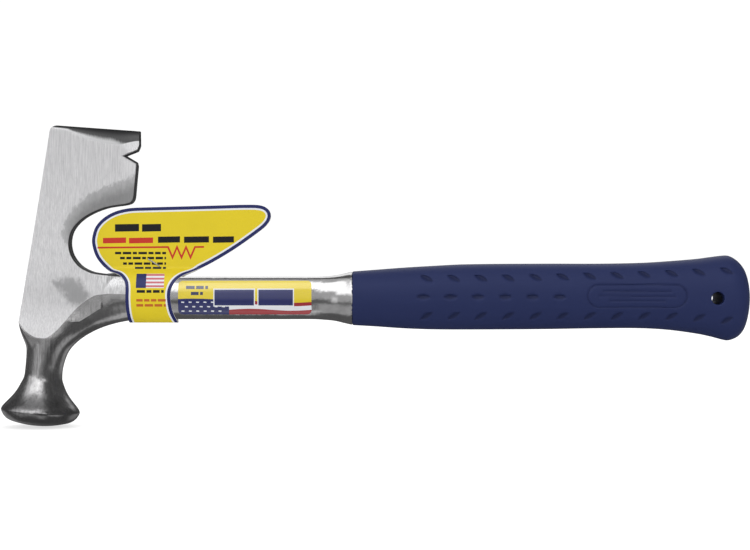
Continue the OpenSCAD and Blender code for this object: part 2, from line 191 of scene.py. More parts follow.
# the block where neck, throat and blade run together: its sides, then half thickness and squareness at its left and right
root_rows = [[-60, -330.5, -313, 8.6, 2, 8.6, 2], [-40, -328.9, -311.6, 8.65, 2, 8.65, 2], [-35, -328.3, -311.6, 8.68, 2, 8.68, 2], [-30, -327.6, -310.6, 8.72, 2.02, 8.72, 2.02],
             [-26, -327.9, -309.5, 8.78, 2.15, 8.78, 2.15], [-22, -328.5, -308.1, 8.85, 2.6, 8.8, 2.3], [-18.5, -329.5, -306.4, 8.88, 4, 8.6, 2.5],
             [-15.2, -330.4, -304.8, 8.85, 6, 7.98, 2.8], [-12, -330.85, -303, 8.8, 9, 7.35, 3.2], [-8, -330.3, -301, 8.7, 14, 6.4, 4],
             [-4, -329.9, -299.5, 8.4, 14, 5.6, 5], [0, -329.4, -298, 8, 14, 5.0, 6], [20, -327, -290, 7, 14, 4.5, 8]]
r_l, r_r, r_bl, r_nl, r_br, r_nr = (table(root_rows, c) for c in range(1, 7))

# the striking end, turned about its own axis: radius by height above the rim
TILT = math.radians(4)
FACE = np.array([-321.8, -53.7])
bell_r = table([[-12, 9.5], [-8, 13.0], [-5, 15.4], [-3.1, 16.75], [-1.6, 17.7], [-0.6, 18.2], [0.2, 18.4], [1.2, 18.15], [2.6, 17.2], [4.3, 15.7], [5.7, 14.5], [7.1, 13.35], [8.5, 12.35], [10, 11.45], [11.4, 10.75],
                [12.8, 10.15], [14.2, 9.6], [15.7, 9.15], [17.5, 8.88], [19.5, 8.8], [24, 8.78], [34, 8.6], [60, 8.6]], 1)


def spow(v, n):
    return np.power(np.abs(v) + 1e-12, n)


EYE = (-163.0, 10.9, 800.0)         # where the camera looks, and from how far


def mm(px, py, depth=0.0):
    """Side-view layout units to mm along the handle and up, for a point that far in front of the middle plane."""
    x, z = (px - 718.4) * 0.4748, (297.9 - py) * 0.4748
    k = 1 - depth / EYE[2]
    return (EYE[0] + (x - EYE[0]) * k, EYE[1] + (z - EYE[1]) * k)


def line_distance(px, pz, line, signed=False):
    """Distance to an open line, where on it the nearest point is, and which side it lies on."""
    px, pz = np.asarray(px, float), np.asarray(pz, float)
    a, b = line[:-1], line[1:]
    e = b - a
    le = np.sqrt((e * e).sum(1))
    s0 = np.concatenate([[0], np.cumsum(le)])
    best = np.full(px.shape, 1e9)
    where = np.zeros(px.shape)
    side = np.zeros(px.shape)
    for i in range(len(a)):
        wx, wz = px - a[i, 0], pz - a[i, 1]
        t = np.clip((wx * e[i, 0] + wz * e[i, 1]) / (le[i] ** 2), 0, 1)
        d = np.hypot(wx - t * e[i, 0], wz - t * e[i, 1])
        m = d < best
        best = np.where(m, d, best)
        where = np.where(m, s0[i] + t * le[i], where)
        side = np.where(m, np.sign(e[i, 0] * wz - e[i, 1] * wx), side)
    return best, where, side


# the line where the ground cheek meets the round forging, left to right, and the outside edge down to the throat, along
# which a band of painted shade runs
grind_line = catmull([mm(*v, 7.6) for v in ((12, 313), (19.8, 323), (24, 329), (29.3, 333.6), (36, 337.2), (43, 338.2), (48.5, 337), (57.4, 329.7), (66.3, 319.5), (76.5, 308),
                                       (86.7, 299.8), (97, 294.0), (112, 287), (126, 274))], 4)
right_line = np.array([[-274.1, 77.5], [-274.1, 72.2], [-275.0, 69.8]])
beard_line = np.concatenate([[[-275.5, 64.6], [-275.3, 62.6]], beard])


def plan(x, z):
    """Everything about a point that doesn't depend on its distance from the middle plane."""
    q = {}
    zp = z * CA + (x + 320) * SA
    depth = bevel_depth(x)
    d = edge_at(x) - zp
    hc = cheek_h(edge_at(x) - depth)
    s = d / depth
    hb = 0.42 + (hc - 0.42) * np.where(s < 1, 1.4 * s - 0.4 * s * s, 1 + 0.6 * (s - 1))
    h = cheek_h(zp) + 0.035 * np.clip(x + 284, 0, None) ** 1.6
    q["bevel"] = (hb < h)
    q["h"] = np.minimum(h, hb)
    q["rim"] = np.minimum(line_distance(x, z, right_line)[0], line_distance(x, z, beard_line)[0])
    q["zp"] = zp
    q["out"] = poly_distance(x, z, blade_outline).reshape(np.shape(x))
    q["notch"] = np.maximum(N1[0] * (x - NOTCH[0]) + N1[1] * (z - NOTCH[1]), N2[0] * (x - NOTCH[0]) + N2[1] * (z - NOTCH[1]))
    # throat and shank
    ex, ez = (-270 - x) / 41.7, (z + 35) / 24.9
    w = np.degrees(np.arctan2(ez, ex))
    rho = np.hypot(ex, ez)
    ro = throat_out(w)
    wr = np.radians(np.clip(w, 0, 90))
    scale = np.hypot(41.7 * np.cos(wr), 24.9 * np.sin(wr))
    throat = x < -270
    q["t"] = np.where(throat, 2 * (rho - 1) / (ro - 1) - 1, (z - (s_top(x) + s_bot(x)) / 2) / ((s_top(x) - s_bot(x)) / 2))
    q["tb"] = np.where(throat, throat_b(w), s_b(x))
    q["tn"] = np.where(throat, throat_n(w), 2.15)
    q["tl"] = np.where(throat, 0.5 * (ro - 1) * scale, (s_top(x) - s_bot(x)) / 2)
    # root of the blade
    q["rt"] = (x - (r_l(z) + r_r(z)) / 2) / ((r_r(z) - r_l(z)) / 2)
    q["rl"] = (r_r(z) - r_l(z)) / 2
    w = smoothstep(-0.5, 0.3, q["rt"])
    q["rb"], q["rn"] = r_bl(z) * (1 - w) + r_br(z) * w, r_nl(z) * (1 - w) + r_nr(z) * w
    # neck and bell
    q["bx"] = (x - FACE[0]) * math.cos(TILT) - (z - FACE[1]) * math.sin(TILT)
    q["bz"] = (x - FACE[0]) * math.sin(TILT) + (z - FACE[1]) * math.cos(TILT)
    q["br"] = bell_r(q["bz"])
    q["tt"], q["tgb"] = t_top(x), t_b(x)
    return q


def oval_field(t, l, y, b, n):
    g = np.power(spow(t, n) + spow(y / b, n), 1 / n)
    return (g - 1) * np.minimum(l, b)


def field(x, y, z, q, parts=False):
    ay = np.abs(y)
    cheek = (ay - q["h"])
    bar = oval_field(q["t"], q["tl"], ay, q["tb"], q["tn"])
    bar = np.maximum(bar, -(z + 38))
    root = oval_field(q["rt"], q["rl"], ay, q["rb"], q["rn"])
    root = np.maximum(root, z + 4)
    upper = smin(bar, root, 1.6)
    rad = np.hypot(q["bx"], ay)
    bell = (rad - q["br"]) * 0.8
    crown = -(q["bz"] + 6.9 - rad * rad / 92)
    bell = smax(bell, crown, 1.6)
    w = smoothstep(-41, -30, z)
    forged = bell * (1 - w) + upper * w
    forged = np.where(z > -30, upper, np.where(z < -41, bell, forged))
    fade = 9 - (x + 300) * 0.371
    cheek = np.where((q["rim"] < 3) & (q["out"] < 0.6), np.maximum(cheek, (cheek + np.where(q["out"] < 0, -q["rim"], q["rim"]) + 0.62) * 0.7071), cheek)
    slab = np.where((x > -300) & (z < 12.2) & (z > -20), np.maximum(q["out"], (ay - np.maximum(fade, 1.2)) * 0.9), q["out"])
    body = np.minimum(forged, slab)
    f = np.maximum(body, cheek)
    sink = np.clip((ay - 0.35) * 0.85, 0, 1.15)
    near = (x > -300) & (z > 50)
    f = np.where(near, np.maximum(f, -(q["notch"] - sink)), f)
    # the shank ends in a collar, and the tang goes on
    collar = np.maximum(f, x - COLLAR)
    rim = (x - COLLAR + bar + 0.35) * 0.7071
    collar = np.where(x > -180, np.maximum(collar, rim), collar)
    tang = oval_field(z / q["tt"], q["tt"], ay, q["tgb"], 2.6)
    tang = np.maximum(tang, x + 9)
    tang = np.maximum(tang, -(x + 176))
    f = np.where(x > -180, np.minimum(collar, tang), f)
    if parts:
        return f, cheek, slab, forged
    return f


def F(p):
    return field(p[:, 0], p[:, 1], p[:, 2], plan(p[:, 0], p[:, 2]))


def grad(p, e=0.03):
    g = np.empty_like(p)
    for a in range(3):
        d = np.zeros(3)
        d[a] = e
        g[:, a] = F(p + d) - F(p - d)
    return g / (np.linalg.norm(g, axis=1, keepdims=True) + 1e-12)


def spaced(stops):
    """Grid lines: (from, to, step) runs joined end to end."""
    out = []
    for a, b, s in stops:
        n = max(1, int(round((b - a) / s)))
        out += list(a + (b - a) * np.arange(n) / n)
    out.append(stops[-1][1])
    return np.array(out)


def dual_contour(xs, ys, zs):
    nx, ny, nz = len(xs), len(ys), len(zs)
    D = np.full((nx, ny, nz), 9.0, np.float32)
    zi = (zs > -15.5) & (zs < 15.5)
    yi = np.abs(ys) < 11
    head = xs < -262
    for sel, zsel, ysel in ((head, np.ones(nz, bool), np.ones(ny, bool)), (~head, zi, yi)):
        X, Z = np.meshgrid(xs[sel], zs[zsel], indexing="ij")
        q = plan(X.ravel(), Z.ravel())
        q = {k: v.reshape(X.shape)[:, None, :] for k, v in q.items()}
        v = field(X[:, None, :], ys[ysel][None, :, None], Z[:, None, :], q)
        D[np.ix_(np.where(sel)[0], np.where(ysel)[0], np.where(zsel)[0])] = v
    D[np.abs(D) < 1e-5] = 1e-5
    ins = D < 0
    axes = [xs, ys, zs]
    pts, cells, quads = [], [], []
    cn = (nx - 1, ny - 1, nz - 1)
    lin = lambda i, j, k: (i * cn[1] + j) * cn[2] + k
    for ax in range(3):
        lo = [slice(None)] * 3
        hi = [slice(None)] * 3
        lo[ax], hi[ax] = slice(0, -1), slice(1, None)
        idx = np.argwhere(ins[tuple(lo)] != ins[tuple(hi)])
        nxt = idx.copy()
        nxt[:, ax] += 1
        p0 = np.stack([axes[a][idx[:, a]] for a in range(3)], 1)
        p1 = np.stack([axes[a][nxt[:, a]] for a in range(3)], 1)
        f0 = D[tuple(idx.T)].astype(float)
        f1 = D[tuple(nxt.T)].astype(float)
        a_, b_ = p0.copy(), p1.copy()
        fa, fb = f0.copy(), f1.copy()
        for it in range(6):
            t = fa / (fa - fb)
            if it % 2:
                t = 0.5 + 0 * t
            t = np.clip(t, 0.02, 0.98)
            m = a_ + (b_ - a_) * t[:, None]
            fm = F(m)
            left = (fm < 0) == (fa < 0)
            a_[left], fa[left] = m[left], fm[left]
            b_[~left], fb[~left] = m[~left], fm[~left]
        t = np.clip(fa / (fa - fb), 0, 1)
        pts.append(a_ + (b_ - a_) * t[:, None])
        o = [a for a in range(3) if a != ax]
        cs = []
        for du, dv in ((-1, -1), (0, -1), (0, 0), (-1, 0)):
            c = idx.copy()
            c[:, o[0]] += du
            c[:, o[1]] += dv
            cs.append(lin(c[:, 0], c[:, 1], c[:, 2]))
        cs = np.stack(cs, 1)
        cells.append(cs)
        flip = (f0 < 0) ^ (ax == 1)
        qd = cs.copy()
        qd[~flip] = qd[~flip][:, ::-1]
        quads.append(qd)
    P = np.concatenate(pts)
    N = grad(P)
    C = np.concatenate(cells)
    Q = np.concatenate(quads)
    ids, inv = np.unique(C.ravel(), return_inverse=True)
    inv = inv.reshape(C.shape)
    m = len(ids)
    cnt = np.bincount(inv.ravel(), minlength=m).astype(float)
    rep = lambda v: np.bincount(inv.ravel(), np.repeat(v, 4), minlength=m)
    mass = np.stack([rep(P[:, a]) for a in range(3)], 1) / cnt[:, None]
    nsum = np.stack([rep(N[:, a]) for a in range(3)], 1)
    sharp = np.linalg.norm(nsum, axis=1) / cnt < 0.985
    A = np.zeros((m, 3, 3))
    for a in range(3):
        for b in range(a, 3):
            A[:, a, b] = A[:, b, a] = rep(N[:, a] * N[:, b])
    nd = (N * P).sum(1)
    B = np.stack([rep(N[:, a] * nd) for a in range(3)], 1)
    lam = 0.02 * cnt
    A += lam[:, None, None] * np.eye(3)
    B += lam[:, None] * mass
    V = np.linalg.solve(A, B[..., None])[..., 0]
    ci = np.stack(np.unravel_index(ids, cn), 1)
    lo = np.stack([axes[a][ci[:, a]] for a in range(3)], 1)
    hi = np.stack([axes[a][ci[:, a] + 1] for a in range(3)], 1)
    pad = 0.02 * (hi - lo)
    V = np.clip(V, lo + pad, hi - pad)
    V[~sharp] = mass[~sharp]
    for _ in range(3):
        s = np.where(~sharp)[0]
        g = np.zeros((len(s), 3))
        for a in range(3):
            d = np.zeros(3)
            d[a] = 0.03
            g[:, a] = (F(V[s] + d) - F(V[s] - d)) / 0.06
        V[s] -= (F(V[s]) / ((g * g).sum(1) + 1e-9))[:, None] * g
    back = {}
    faces = np.searchsorted(ids, Q)
    return V, faces, sharp


coarse = 1.0
XS = spaced([(-342, -262, 0.62 * coarse), (-262, -190, 1.1 * coarse), (-190, -171, 0.62 * coarse), (-171, -16, 3.0), (-16, -7.5, 1.0)])
YS = spaced([(-19.6, -10, 0.8 * coarse), (-10, 10, 0.5 * coarse), (10, 19.6, 0.8 * coarse)])
ZS = spaced([(-62.5, -14, 0.62 * coarse), (-14, 14, 0.55 * coarse), (14, 84.2, 0.7 * coarse)])
V, FQ, sharp = dual_contour(XS, YS, ZS)


def mark_creases(me, degrees):
    """Smooth shading everywhere except across real creases."""
    import bmesh
    bm = bmesh.new()
    bm.from_mesh(me)
    bmesh.ops.recalc_face_normals(bm, faces=bm.faces)
    lim = math.radians(degrees)
    for f in bm.faces:
        f.smooth = True
    for e in bm.edges:
        if len(e.link_faces) != 2 or e.calc_face_angle(0) > lim:
            e.smooth = False
    bm.to_mesh(me)
    bm.free()
    me.update()


def add_point(me, name, values):
    a = me.attributes.new(name, "FLOAT", "POINT")
    a.data.foreach_set("value", np.asarray(values, np.float32))


forging = new_mesh("steel_forging", V, FQ)
mark_creases(forging.data, 26)
vx, vy, vz = V[:, 0], V[:, 1], V[:, 2]
q = plan(vx, vz)
_f, cheek_f, slab_f, forged_f = field(vx, vy, vz, q, parts=True)
finish_area = np.concatenate([grind_line[:-9], [mm(97, 294.9, 6), mm(108.4, 293.7, 6), mm(126, 294.3, 6), mm(146, 294.5, 6), mm(152, 250, 6), (-262, 95), (-345, 95), (-345, 0)]])
add_point(forging.data, "ground", np.clip(np.minimum(-poly_distance(vx, vz, finish_area), (cheek_f - np.minimum(forged_f, slab_f)) * 0.6 + np.where(vx > -292, 3, 0.45)), -4, 4))
notch_d = np.where((vx > -290) & (vz > 50), np.abs(q["notch"]), 9)
# distance to the outside edges and the notch, which places the near-black band of painted shade
add_point(forging.data, "rim", np.minimum(np.minimum(q["rim"], notch_d * 0.8), 6))
add_point(forging.data, "bevel", np.clip((q["h"] - (cheek_h(q["zp"]))) * -1, -3, 3) * (vz > 50))
add_point(forging.data, "edge", np.clip((edge_at(vx) - q["zp"]) / bevel_depth(vx), 0, 4))
# areas a and b: darker steel painted on the ground cheek, a painted reflection of dark surroundings in its differently
# ground facets
painted_reflection_a = np.array([mm(*p, 2.5) for p in [(61, 233), (64.5, 221), (71.5, 210), (78.5, 201), (90, 193.5), (104, 187), (121, 181), (130, 177), (136.5, 171.5), (150, 168), (150, 240), (66, 245)]])
painted_reflection_b = np.array([mm(*p, 5.5) for p in [(51, 281), (60, 279), (70, 278.5), (78.6, 280.6), (84, 288), (91, 297), (84, 303), (77, 308), (68, 301), (62, 291.5), (55, 288)]])
patch_c = np.array([mm(*p, 6) for p in [(92, 276), (101, 270), (128, 274), (130, 296), (104, 295)]])
add_point(forging.data, "painted_reflection_a", -poly_distance(vx, vz, painted_reflection_a))
add_point(forging.data, "painted_reflection_b", -poly_distance(vx, vz, painted_reflection_b))
add_point(forging.data, "patch_c", -poly_distance(vx, vz, patch_c))
print("forging:", len(V), "vertices")

# ------------------------------------------------------------------ the moulded grip
grip_rows = [
    [COLLAR, 12.6, -12.9, 9.9, 2.15], [-163, 13.4, -13.5, 10.7, 2.15], [-149.8, 14.4, -14.4, 11.6, 2.2], [-136.5, 15.2, -14.9, 12.2, 2.2],
    [-120, 16, -15, 12.5, 2.25], [-83, 16.3, -14.8, 12.5, 2.25], [-56.7, 16.3, -14.4, 12.3, 2.25], [-36.7, 16.7, -14.4, 12.6, 2.25],
    [-23.5, 17.5, -15.2, 13, 2.25], [-10.2, 18.6, -17, 13.6, 2.25], [-3.5, 19.5, -18.4, 14.1, 2.25], [3.2, 20.2, -20.1, 14.4, 2.25],
    [5.4, 19.7, -19.9, 14.3, 2.25], [7.9, 18.2, -18.9, 13.8, 2.2], [9.8, 16.4, -17.4, 12.7, 2.2], [11.6, 13.9, -14.8, 10.7, 2.15],
    [13, 10.5, -10.8, 7.9, 2.1], [14.1, 6.1, -5.9, 4.2, 2], [14.8, 0.5, -0.5, 0.4, 2]]
g_top, g_bot, g_b, g_n = (table(grip_rows, c, 20000) for c in (1, 2, 3, 4))


def grip_y(x, z):
    a, c = (g_top(x) - g_bot(x)) / 2, (g_top(x) + g_bot(x)) / 2
    u = np.clip(1 - spow((z - c) / a, g_n(x)), 0, 1)
    return g_b(x) * np.power(u, 1 / g_n(x))


def grip_cut(x, z, y):
    """How far the moulded details sink the side surface at a point."""
    out = np.zeros_like(x)
    spots = []
    for k in range(12):
        X = -138.8 + 12.76 * k
        spots += [(X, 9.17 + 0.029 * k * k, 25), (X, -8.4 - 2 * (max(k - 8, 0) / 3) ** 2, -30)]
    spots += [(-140.4 + 12.76 * k, 0.55, 0) for k in range(6)]
    for X, Z, turn in spots:
        near = (np.abs(x - X) < 5) & (np.abs(z - Z) < 5)
        if not near.any():
            continue
        t = math.radians(turn)
        dx, dz = x[near] - X, z[near] - Z
        u = dx * math.cos(t) - dz * math.sin(t)
        v = dx * math.sin(t) + dz * math.cos(t)
        # a pointed oval: two arcs meeting at its ends, the upper wall the steeper one
        rho = np.hypot(u / 1.0, 0)
        half = 1.55 * (1 - (np.abs(u) / 3.55) ** 2)
        w = v / np.maximum(half, 1e-3)
        inside = (half > 0) & (np.abs(w) < 1)
        deep = 0.95 * np.sqrt(np.clip(half / 1.55, 0, 1))
        lean = np.where(w > 0.35, (1 - w) / 0.65, (w + 1) / 1.35)
        d = np.where(inside, deep * np.sin(np.clip(lean, 0, 1) * math.pi / 2), 0)
        o = out[near]
        out[near] = np.maximum(o, d)
    near = (x > -70) & (x < -10) & (np.abs(z) < 9)
    X, Z = x[near], z[near] - 1.0
    seg = np.clip(X, -58.1, -22.5)
    sd = np.hypot(X - seg, Z) - 5.3
    d = 0.42 * (1 - smoothstep(0.15, 0.62, np.abs(sd)))
    for zz, x0, x1 in ((2.2, -56.1, -24.5), (0, -58.1, -22.5), (-2.2, -53.2, -27.4)):
        s2 = np.hypot(X - np.clip(X, x0, x1), Z - zz)
        d = np.maximum(d, 0.36 * (1 - smoothstep(0.25, 0.65, s2)))
    out[near] = np.maximum(out[near], d)
    return out * (y > 2)


step = 0.5 * coarse
NG = int(round(176 / coarse / 4) * 4)
gx = list(np.arange(COLLAR + 0.6, 4.0, step)) + list(4.0 + 10.8 * np.sin(np.linspace(0, math.pi / 2, int(26 / coarse) + 1)))
gx = np.array([COLLAR + 0.06, COLLAR + 0.2, COLLAR + 0.4] + gx)
gx[-1] = 14.79
phi = 2 * math.pi * (np.arange(NG) + 0.5) / NG
cph, sph = np.cos(phi), np.sin(phi)


def grip_ring(x, shrink=0.0):
    a, c, b, n = (g_top(x) - g_bot(x)) / 2 - shrink, (g_top(x) + g_bot(x)) / 2, g_b(x) - shrink, g_n(x)
    return np.stack([np.full(NG, x), b * np.sign(cph) * np.abs(cph) ** (2 / n), c + a * np.sign(sph) * np.abs(sph) ** (2 / n)], 1)


rings = []
for j, x in enumerate(gx):
    rings.append(grip_ring(x, [0.35, 0.1, 0.02][j] if j < 3 else 0.0))
G = np.array(rings)                                            # rings, round, xyz
nr = len(gx)
flat = G.reshape(-1, 3)
# draw the grid out round the hang hole, and put it back on the surface
side = np.sign(flat[:, 1])
HX = -2.9                                                      # the hang hole's place along these tables
rh = np.hypot(flat[:, 0] - HX, flat[:, 2])
hole_in, hole_out, lip = 2.2, 7.5, 3.35
m = (rh >= hole_in) & (rh < hole_out) & (np.abs(flat[:, 1]) > 5)
nrh = lip + (hole_out - lip) * (rh[m] - hole_in) / (hole_out - hole_in)
flat[m, 0] = HX + (flat[m, 0] - HX) * nrh / rh[m]
flat[m, 2] *= nrh / rh[m]
flat[m, 1] = side[m] * grip_y(flat[m, 0], flat[m, 2])
cut = grip_cut(flat[:, 0], flat[:, 2], np.abs(flat[:, 1]))
flat[:, 1] -= side * cut
gid = lambda j, i: j * NG + (i % NG)
gone = (rh < hole_in) & (np.abs(flat[:, 1]) > 5)
J, I = np.meshgrid(np.arange(nr - 1), np.arange(NG), indexing="ij")
quads = np.stack([gid(J, I), gid(J, I + 1), gid(J + 1, I + 1), gid(J + 1, I)], -1).reshape(-1, 4)
quads = quads[~gone[quads].any(1)]
verts = list(map(tuple, flat))
faces = [list(f) for f in quads]
faces.append([gid(nr - 1, i) for i in range(NG)])
# rim of the hole on the near side (-y), in walking order
used = {}
for f in quads[(flat[quads][:, :, 1] < 0).all(1) & (np.hypot(flat[quads][:, :, 0] - HX, flat[quads][:, :, 2]).max(1) < 9)]:
    for k in range(4):
        used[(int(f[k]), int(f[(k + 1) % 4]))] = True
rim = {a: b for (a, b) in used if (b, a) not in used and math.hypot(verts[a][0] - HX, verts[a][2]) < 4.6 and math.hypot(verts[b][0] - HX, verts[b][2]) < 4.6}
start = next(iter(rim))
loop = [start]
while rim[loop[-1]] != start:
    loop.append(rim[loop[-1]])
mirror = lambda i: (i // NG) * NG + (NG // 2 - 1 - i % NG) % NG
for i in loop:
    r = math.hypot(verts[i][0] - HX, verts[i][2])
    x, z = HX + (verts[i][0] - HX) * lip / r, verts[i][2] * lip / r
    y = float(grip_y(np.array([x]), np.array([z]))[0])
    verts[i] = (x, -y, z)
    verts[mirror(i)] = (x, y, z)
prev_f, prev_b = loop, [mirror(i) for i in loop]
for r, d in ((3.2, 0.06), (3.06, 0.2), (3.0, 0.42), (3.0, 3.0)):
    nf, nb = [], []
    for i in loop:
        x, y, z = verts[i]
        for sgn, store in ((-1, nf), (1, nb)):
            store.append(len(verts))
            verts.append((HX + (x - HX) * r / lip, sgn * (abs(y) - d), z * r / lip))
    for k in range(len(loop)):
        k2 = (k + 1) % len(loop)
        faces.append([prev_f[k], prev_f[k2], nf[k2], nf[k]])
        faces.append([prev_b[k], nb[k], nb[k2], prev_b[k2]])
    prev_f, prev_b = nf, nb
for k in range(len(loop)):
    k2 = (k + 1) % len(loop)
    faces.append([prev_f[k], prev_f[k2], prev_b[k2], prev_b[k]])
# the mouth of the grip and the pocket for the tang
last = [gid(0, i) for i in range(NG)]
for x in (COLLAR + 0.06, -160, -125, -90, -60, -40, -30, -19, -14, -11, -9):
    a, b, n = float(t_top(x)) + 0.06, float(t_b(x)) + 0.06, 2.6
    if x == -9:
        x = -8.94
    base = len(verts)
    verts += [(x, b * math.copysign(abs(c) ** (2 / n), c), a * math.copysign(abs(s_) ** (2 / n), s_)) for c, s_ in zip(cph, sph)]
    cur = [base + i for i in range(NG)]
    for i in range(NG):
        faces.append([last[i], cur[i], cur[(i + 1) % NG], last[(i + 1) % NG]])
    last = cur
faces.append(last[::-1])
used_v = sorted({i for f in faces for i in f})
remap = {a: b for b, a in enumerate(used_v)}
grip = new_mesh("moulded_grip", [verts[i] for i in used_v], [[remap[i] for i in f] for f in faces])
cut_all = np.zeros(len(verts))
cut_all[:len(cut)] = cut
# the depth of the moulded details, also used to darken them as painted shade
add_point(grip.data, "sunk", cut_all[used_v])
mark_creases(grip.data, 38)
print("grip:", len(used_v), "vertices")

# ------------------------------------------------------------------ flat printed pieces: card tag and film label
INK = {"navy": (0.011, 0.017, 0.125), "white": (0.84, 0.86, 0.90), "yellow": (0.80, 0.625, 0.008), "red": (0.60, 0.030, 0.010), "black": (0.005, 0.005, 0.007),
       "orange": (0.56, 0.13, 0.012), "deep": (0.012, 0.018, 0.085), "rose": (0.62, 0.16, 0.19), "card": (0.80, 0.79, 0.74), "pale": (0.80, 0.64, 0.06),
       "crimson": (0.36, 0.012, 0.02)}


def bar(x0, z0, x1, z1, w):
    """A straight stroke from point to point, w wide."""
    d = np.array([x1 - x0, z1 - z0], float)
    d /= np.linalg.norm(d)
    n = np.array([-d[1], d[0]]) * w / 2
    a, b = np.array([x0, z0]), np.array([x1, z1])
    return np.array([a - n, b - n, b + n, a + n])


def stroke(points, w):
    """A mitred open line as one polygon."""
    p = np.array(points, float)
    left, right = [], []
    for i in range(len(p)):
        d0 = p[i] - p[i - 1] if i else p[1] - p[0]
        d1 = p[i + 1] - p[i] if i < len(p) - 1 else p[-1] - p[-2]
        d0, d1 = d0 / np.linalg.norm(d0), d1 / np.linalg.norm(d1)
        n = np.array([-(d0 + d1)[1], (d0 + d1)[0]])
        n /= np.linalg.norm(n)
        s = (w / 2) / max(0.35, float(n @ np.array([-d0[1], d0[0]])))
        left.append(p[i] + n * s)
        right.append(p[i] - n * s)
    return np.array(left + right[::-1])


def box2(x0, z0, x1, z1):
    return np.array([[min(x0, x1), min(z0, z1)], [max(x0, x1), min(z0, z1)], [max(x0, x1), max(z0, z1)], [min(x0, x1), max(z0, z1)]])


def inset(poly, d):
    p = np.array(poly, float)
    area = 0.5 * np.sum(p[:, 0] * np.roll(p[:, 1], -1) - np.roll(p[:, 0], -1) * p[:, 1])
    if area < 0:
        p = p[::-1]
    a = np.roll(p, 1, 0)
    b = np.roll(p, -1, 0)
    t0 = (p - a) / (np.linalg.norm(p - a, axis=1)[:, None] + 1e-9)
    t1 = (b - p) / (np.linalg.norm(b - p, axis=1)[:, None] + 1e-9)
    t = t0 + t1
    n = np.stack([-t[:, 1], t[:, 0]], 1) / (np.linalg.norm(t, axis=1)[:, None] + 1e-9)
    c = np.clip((n * np.stack([-t0[:, 1], t0[:, 0]], 1)).sum(1), 0.5, 1)
    return p + n * (d / c)[:, None]


def words(x0, x1, z, h, ink, seed, right=False):
    """A line of plain dashes where a line of small print would be."""
    r = np.random.default_rng(seed)
    out, x = [], x0
    while x < x1 - 0.5:
        w = min(r.uniform(1.6, 4.2), x1 - x)
        if x1 - (x + w) < 1.2:
            w = x1 - x
        out.append((box2(x, z - h / 2, x + w, z + h / 2), ink))
        x += w + 0.7
    return out


def press(outline, prints, rows, cols):
    """Cuts a flat sheet to its outline with every printed shape's edge in the mesh; returns points, triangles and inks."""
    pts, edges = [], []

    def ringed(poly):
        poly = np.asarray(poly, float)
        fine = []
        for a, b in zip(poly, np.roll(poly, -1, 0)):
            k = max(1, int(math.ceil(abs(b[1] - a[1]) / 0.8)))     # short steps round the curve, so the sheet lies on the steel
            fine += [a + (b - a) * t / k for t in range(k)]
        poly = fine
        s = len(pts)
        for p in poly:
            pts.append((float(p[0]), float(p[1])))
        for i in range(len(poly)):
            edges.append((s + i, s + (i + 1) % len(poly)))

    ringed(outline)
    for poly, _ in prints:
        ringed(poly)
    gxx, gzz = np.meshgrid(cols, rows, indexing="ij")
    inside = poly_distance(gxx.ravel(), gzz.ravel(), outline) < -0.35
    for a, b in zip(gxx.ravel()[inside], gzz.ravel()[inside]):
        pts.append((float(a), float(b)))
    res = delaunay_2d_cdt([Vector(p) for p in pts], edges, [], 0, 1e-4)
    P = np.array([(p.x, p.y) for p in res[0]])
    T = np.array([t for t in res[2] if len(t) == 3])
    C = P[T].mean(1)
    T = T[poly_distance(C[:, 0], C[:, 1], outline) < 0]
    C = P[T].mean(1)
    a, b, c = P[T[:, 0]], P[T[:, 1]], P[T[:, 2]]
    area = (b[:, 0] - a[:, 0]) * (c[:, 1] - a[:, 1]) - (c[:, 0] - a[:, 0]) * (b[:, 1] - a[:, 1])
    T[area < 0] = T[area < 0][:, ::-1]
    keep = np.abs(area) > 1e-7
    T, C = T[keep], C[keep]
    ink = np.zeros(len(T), int)
    for k, (poly, _) in enumerate(prints):
        lo, hi = poly.min(0), poly.max(0)
        m = (C[:, 0] > lo[0]) & (C[:, 0] < hi[0]) & (C[:, 1] > lo[1]) & (C[:, 1] < hi[1])
        if m.any():
            w = np.where(m)[0]
            ink[w[poly_distance(C[w, 0], C[w, 1], poly) < 0]] = k + 1
    return P, T, ink


def sheet(name, P, T, ink, prints, base, under, edge, outer, inner):
    """Gives the flat sheet its thickness on its curved path, and its printed colours."""
    n = len(P)
    A, B = outer(P[:, 0], P[:, 1]), inner(P[:, 0], P[:, 1])
    cnt = {}
    for t in T:
        for k in range(3):
            cnt[(int(t[k]), int(t[(k + 1) % 3]))] = 1
    rimedges = [e for e in cnt if (e[1], e[0]) not in cnt]
    faces = [tuple(t) for t in T] + [(t[0] + n, t[2] + n, t[1] + n) for t in T] + [(b, a, a + n, b + n) for a, b in rimedges]
    ob = new_mesh(name, np.concatenate([A, B]), faces)
    cols = [base] + [c for _, c in prints]
    face_col = [INK[cols[i]] for i in ink] + [INK[under]] * len(T) + [INK[edge]] * len(rimedges)
    layer = ob.data.color_attributes.new("ink", "FLOAT_COLOR", "CORNER")
    data = []
    for f, c in zip(faces, face_col):
        data += [c[0], c[1], c[2], 1.0] * len(f)
    layer.data.foreach_set("color", data)
    for p in ob.data.polygons:
        p.use_smooth = True
    for e_ in ob.data.edges:
        pass
    return ob


# --- card tag: the path of its middle layer from the front leaf's top, under the shank, to the back leaf's top
CARD = 0.42
LB, LD = 5.6 + 1.0 + CARD / 2, 10.1 + 1.2


def bez4(p, u):
    u = np.asarray(u, float)[:, None]
    p = np.array(p, float)
    return p[0] * (1 - u) ** 3 + 3 * p[1] * u * (1 - u) ** 2 + 3 * p[2] * u * u * (1 - u) + p[3] * u**3


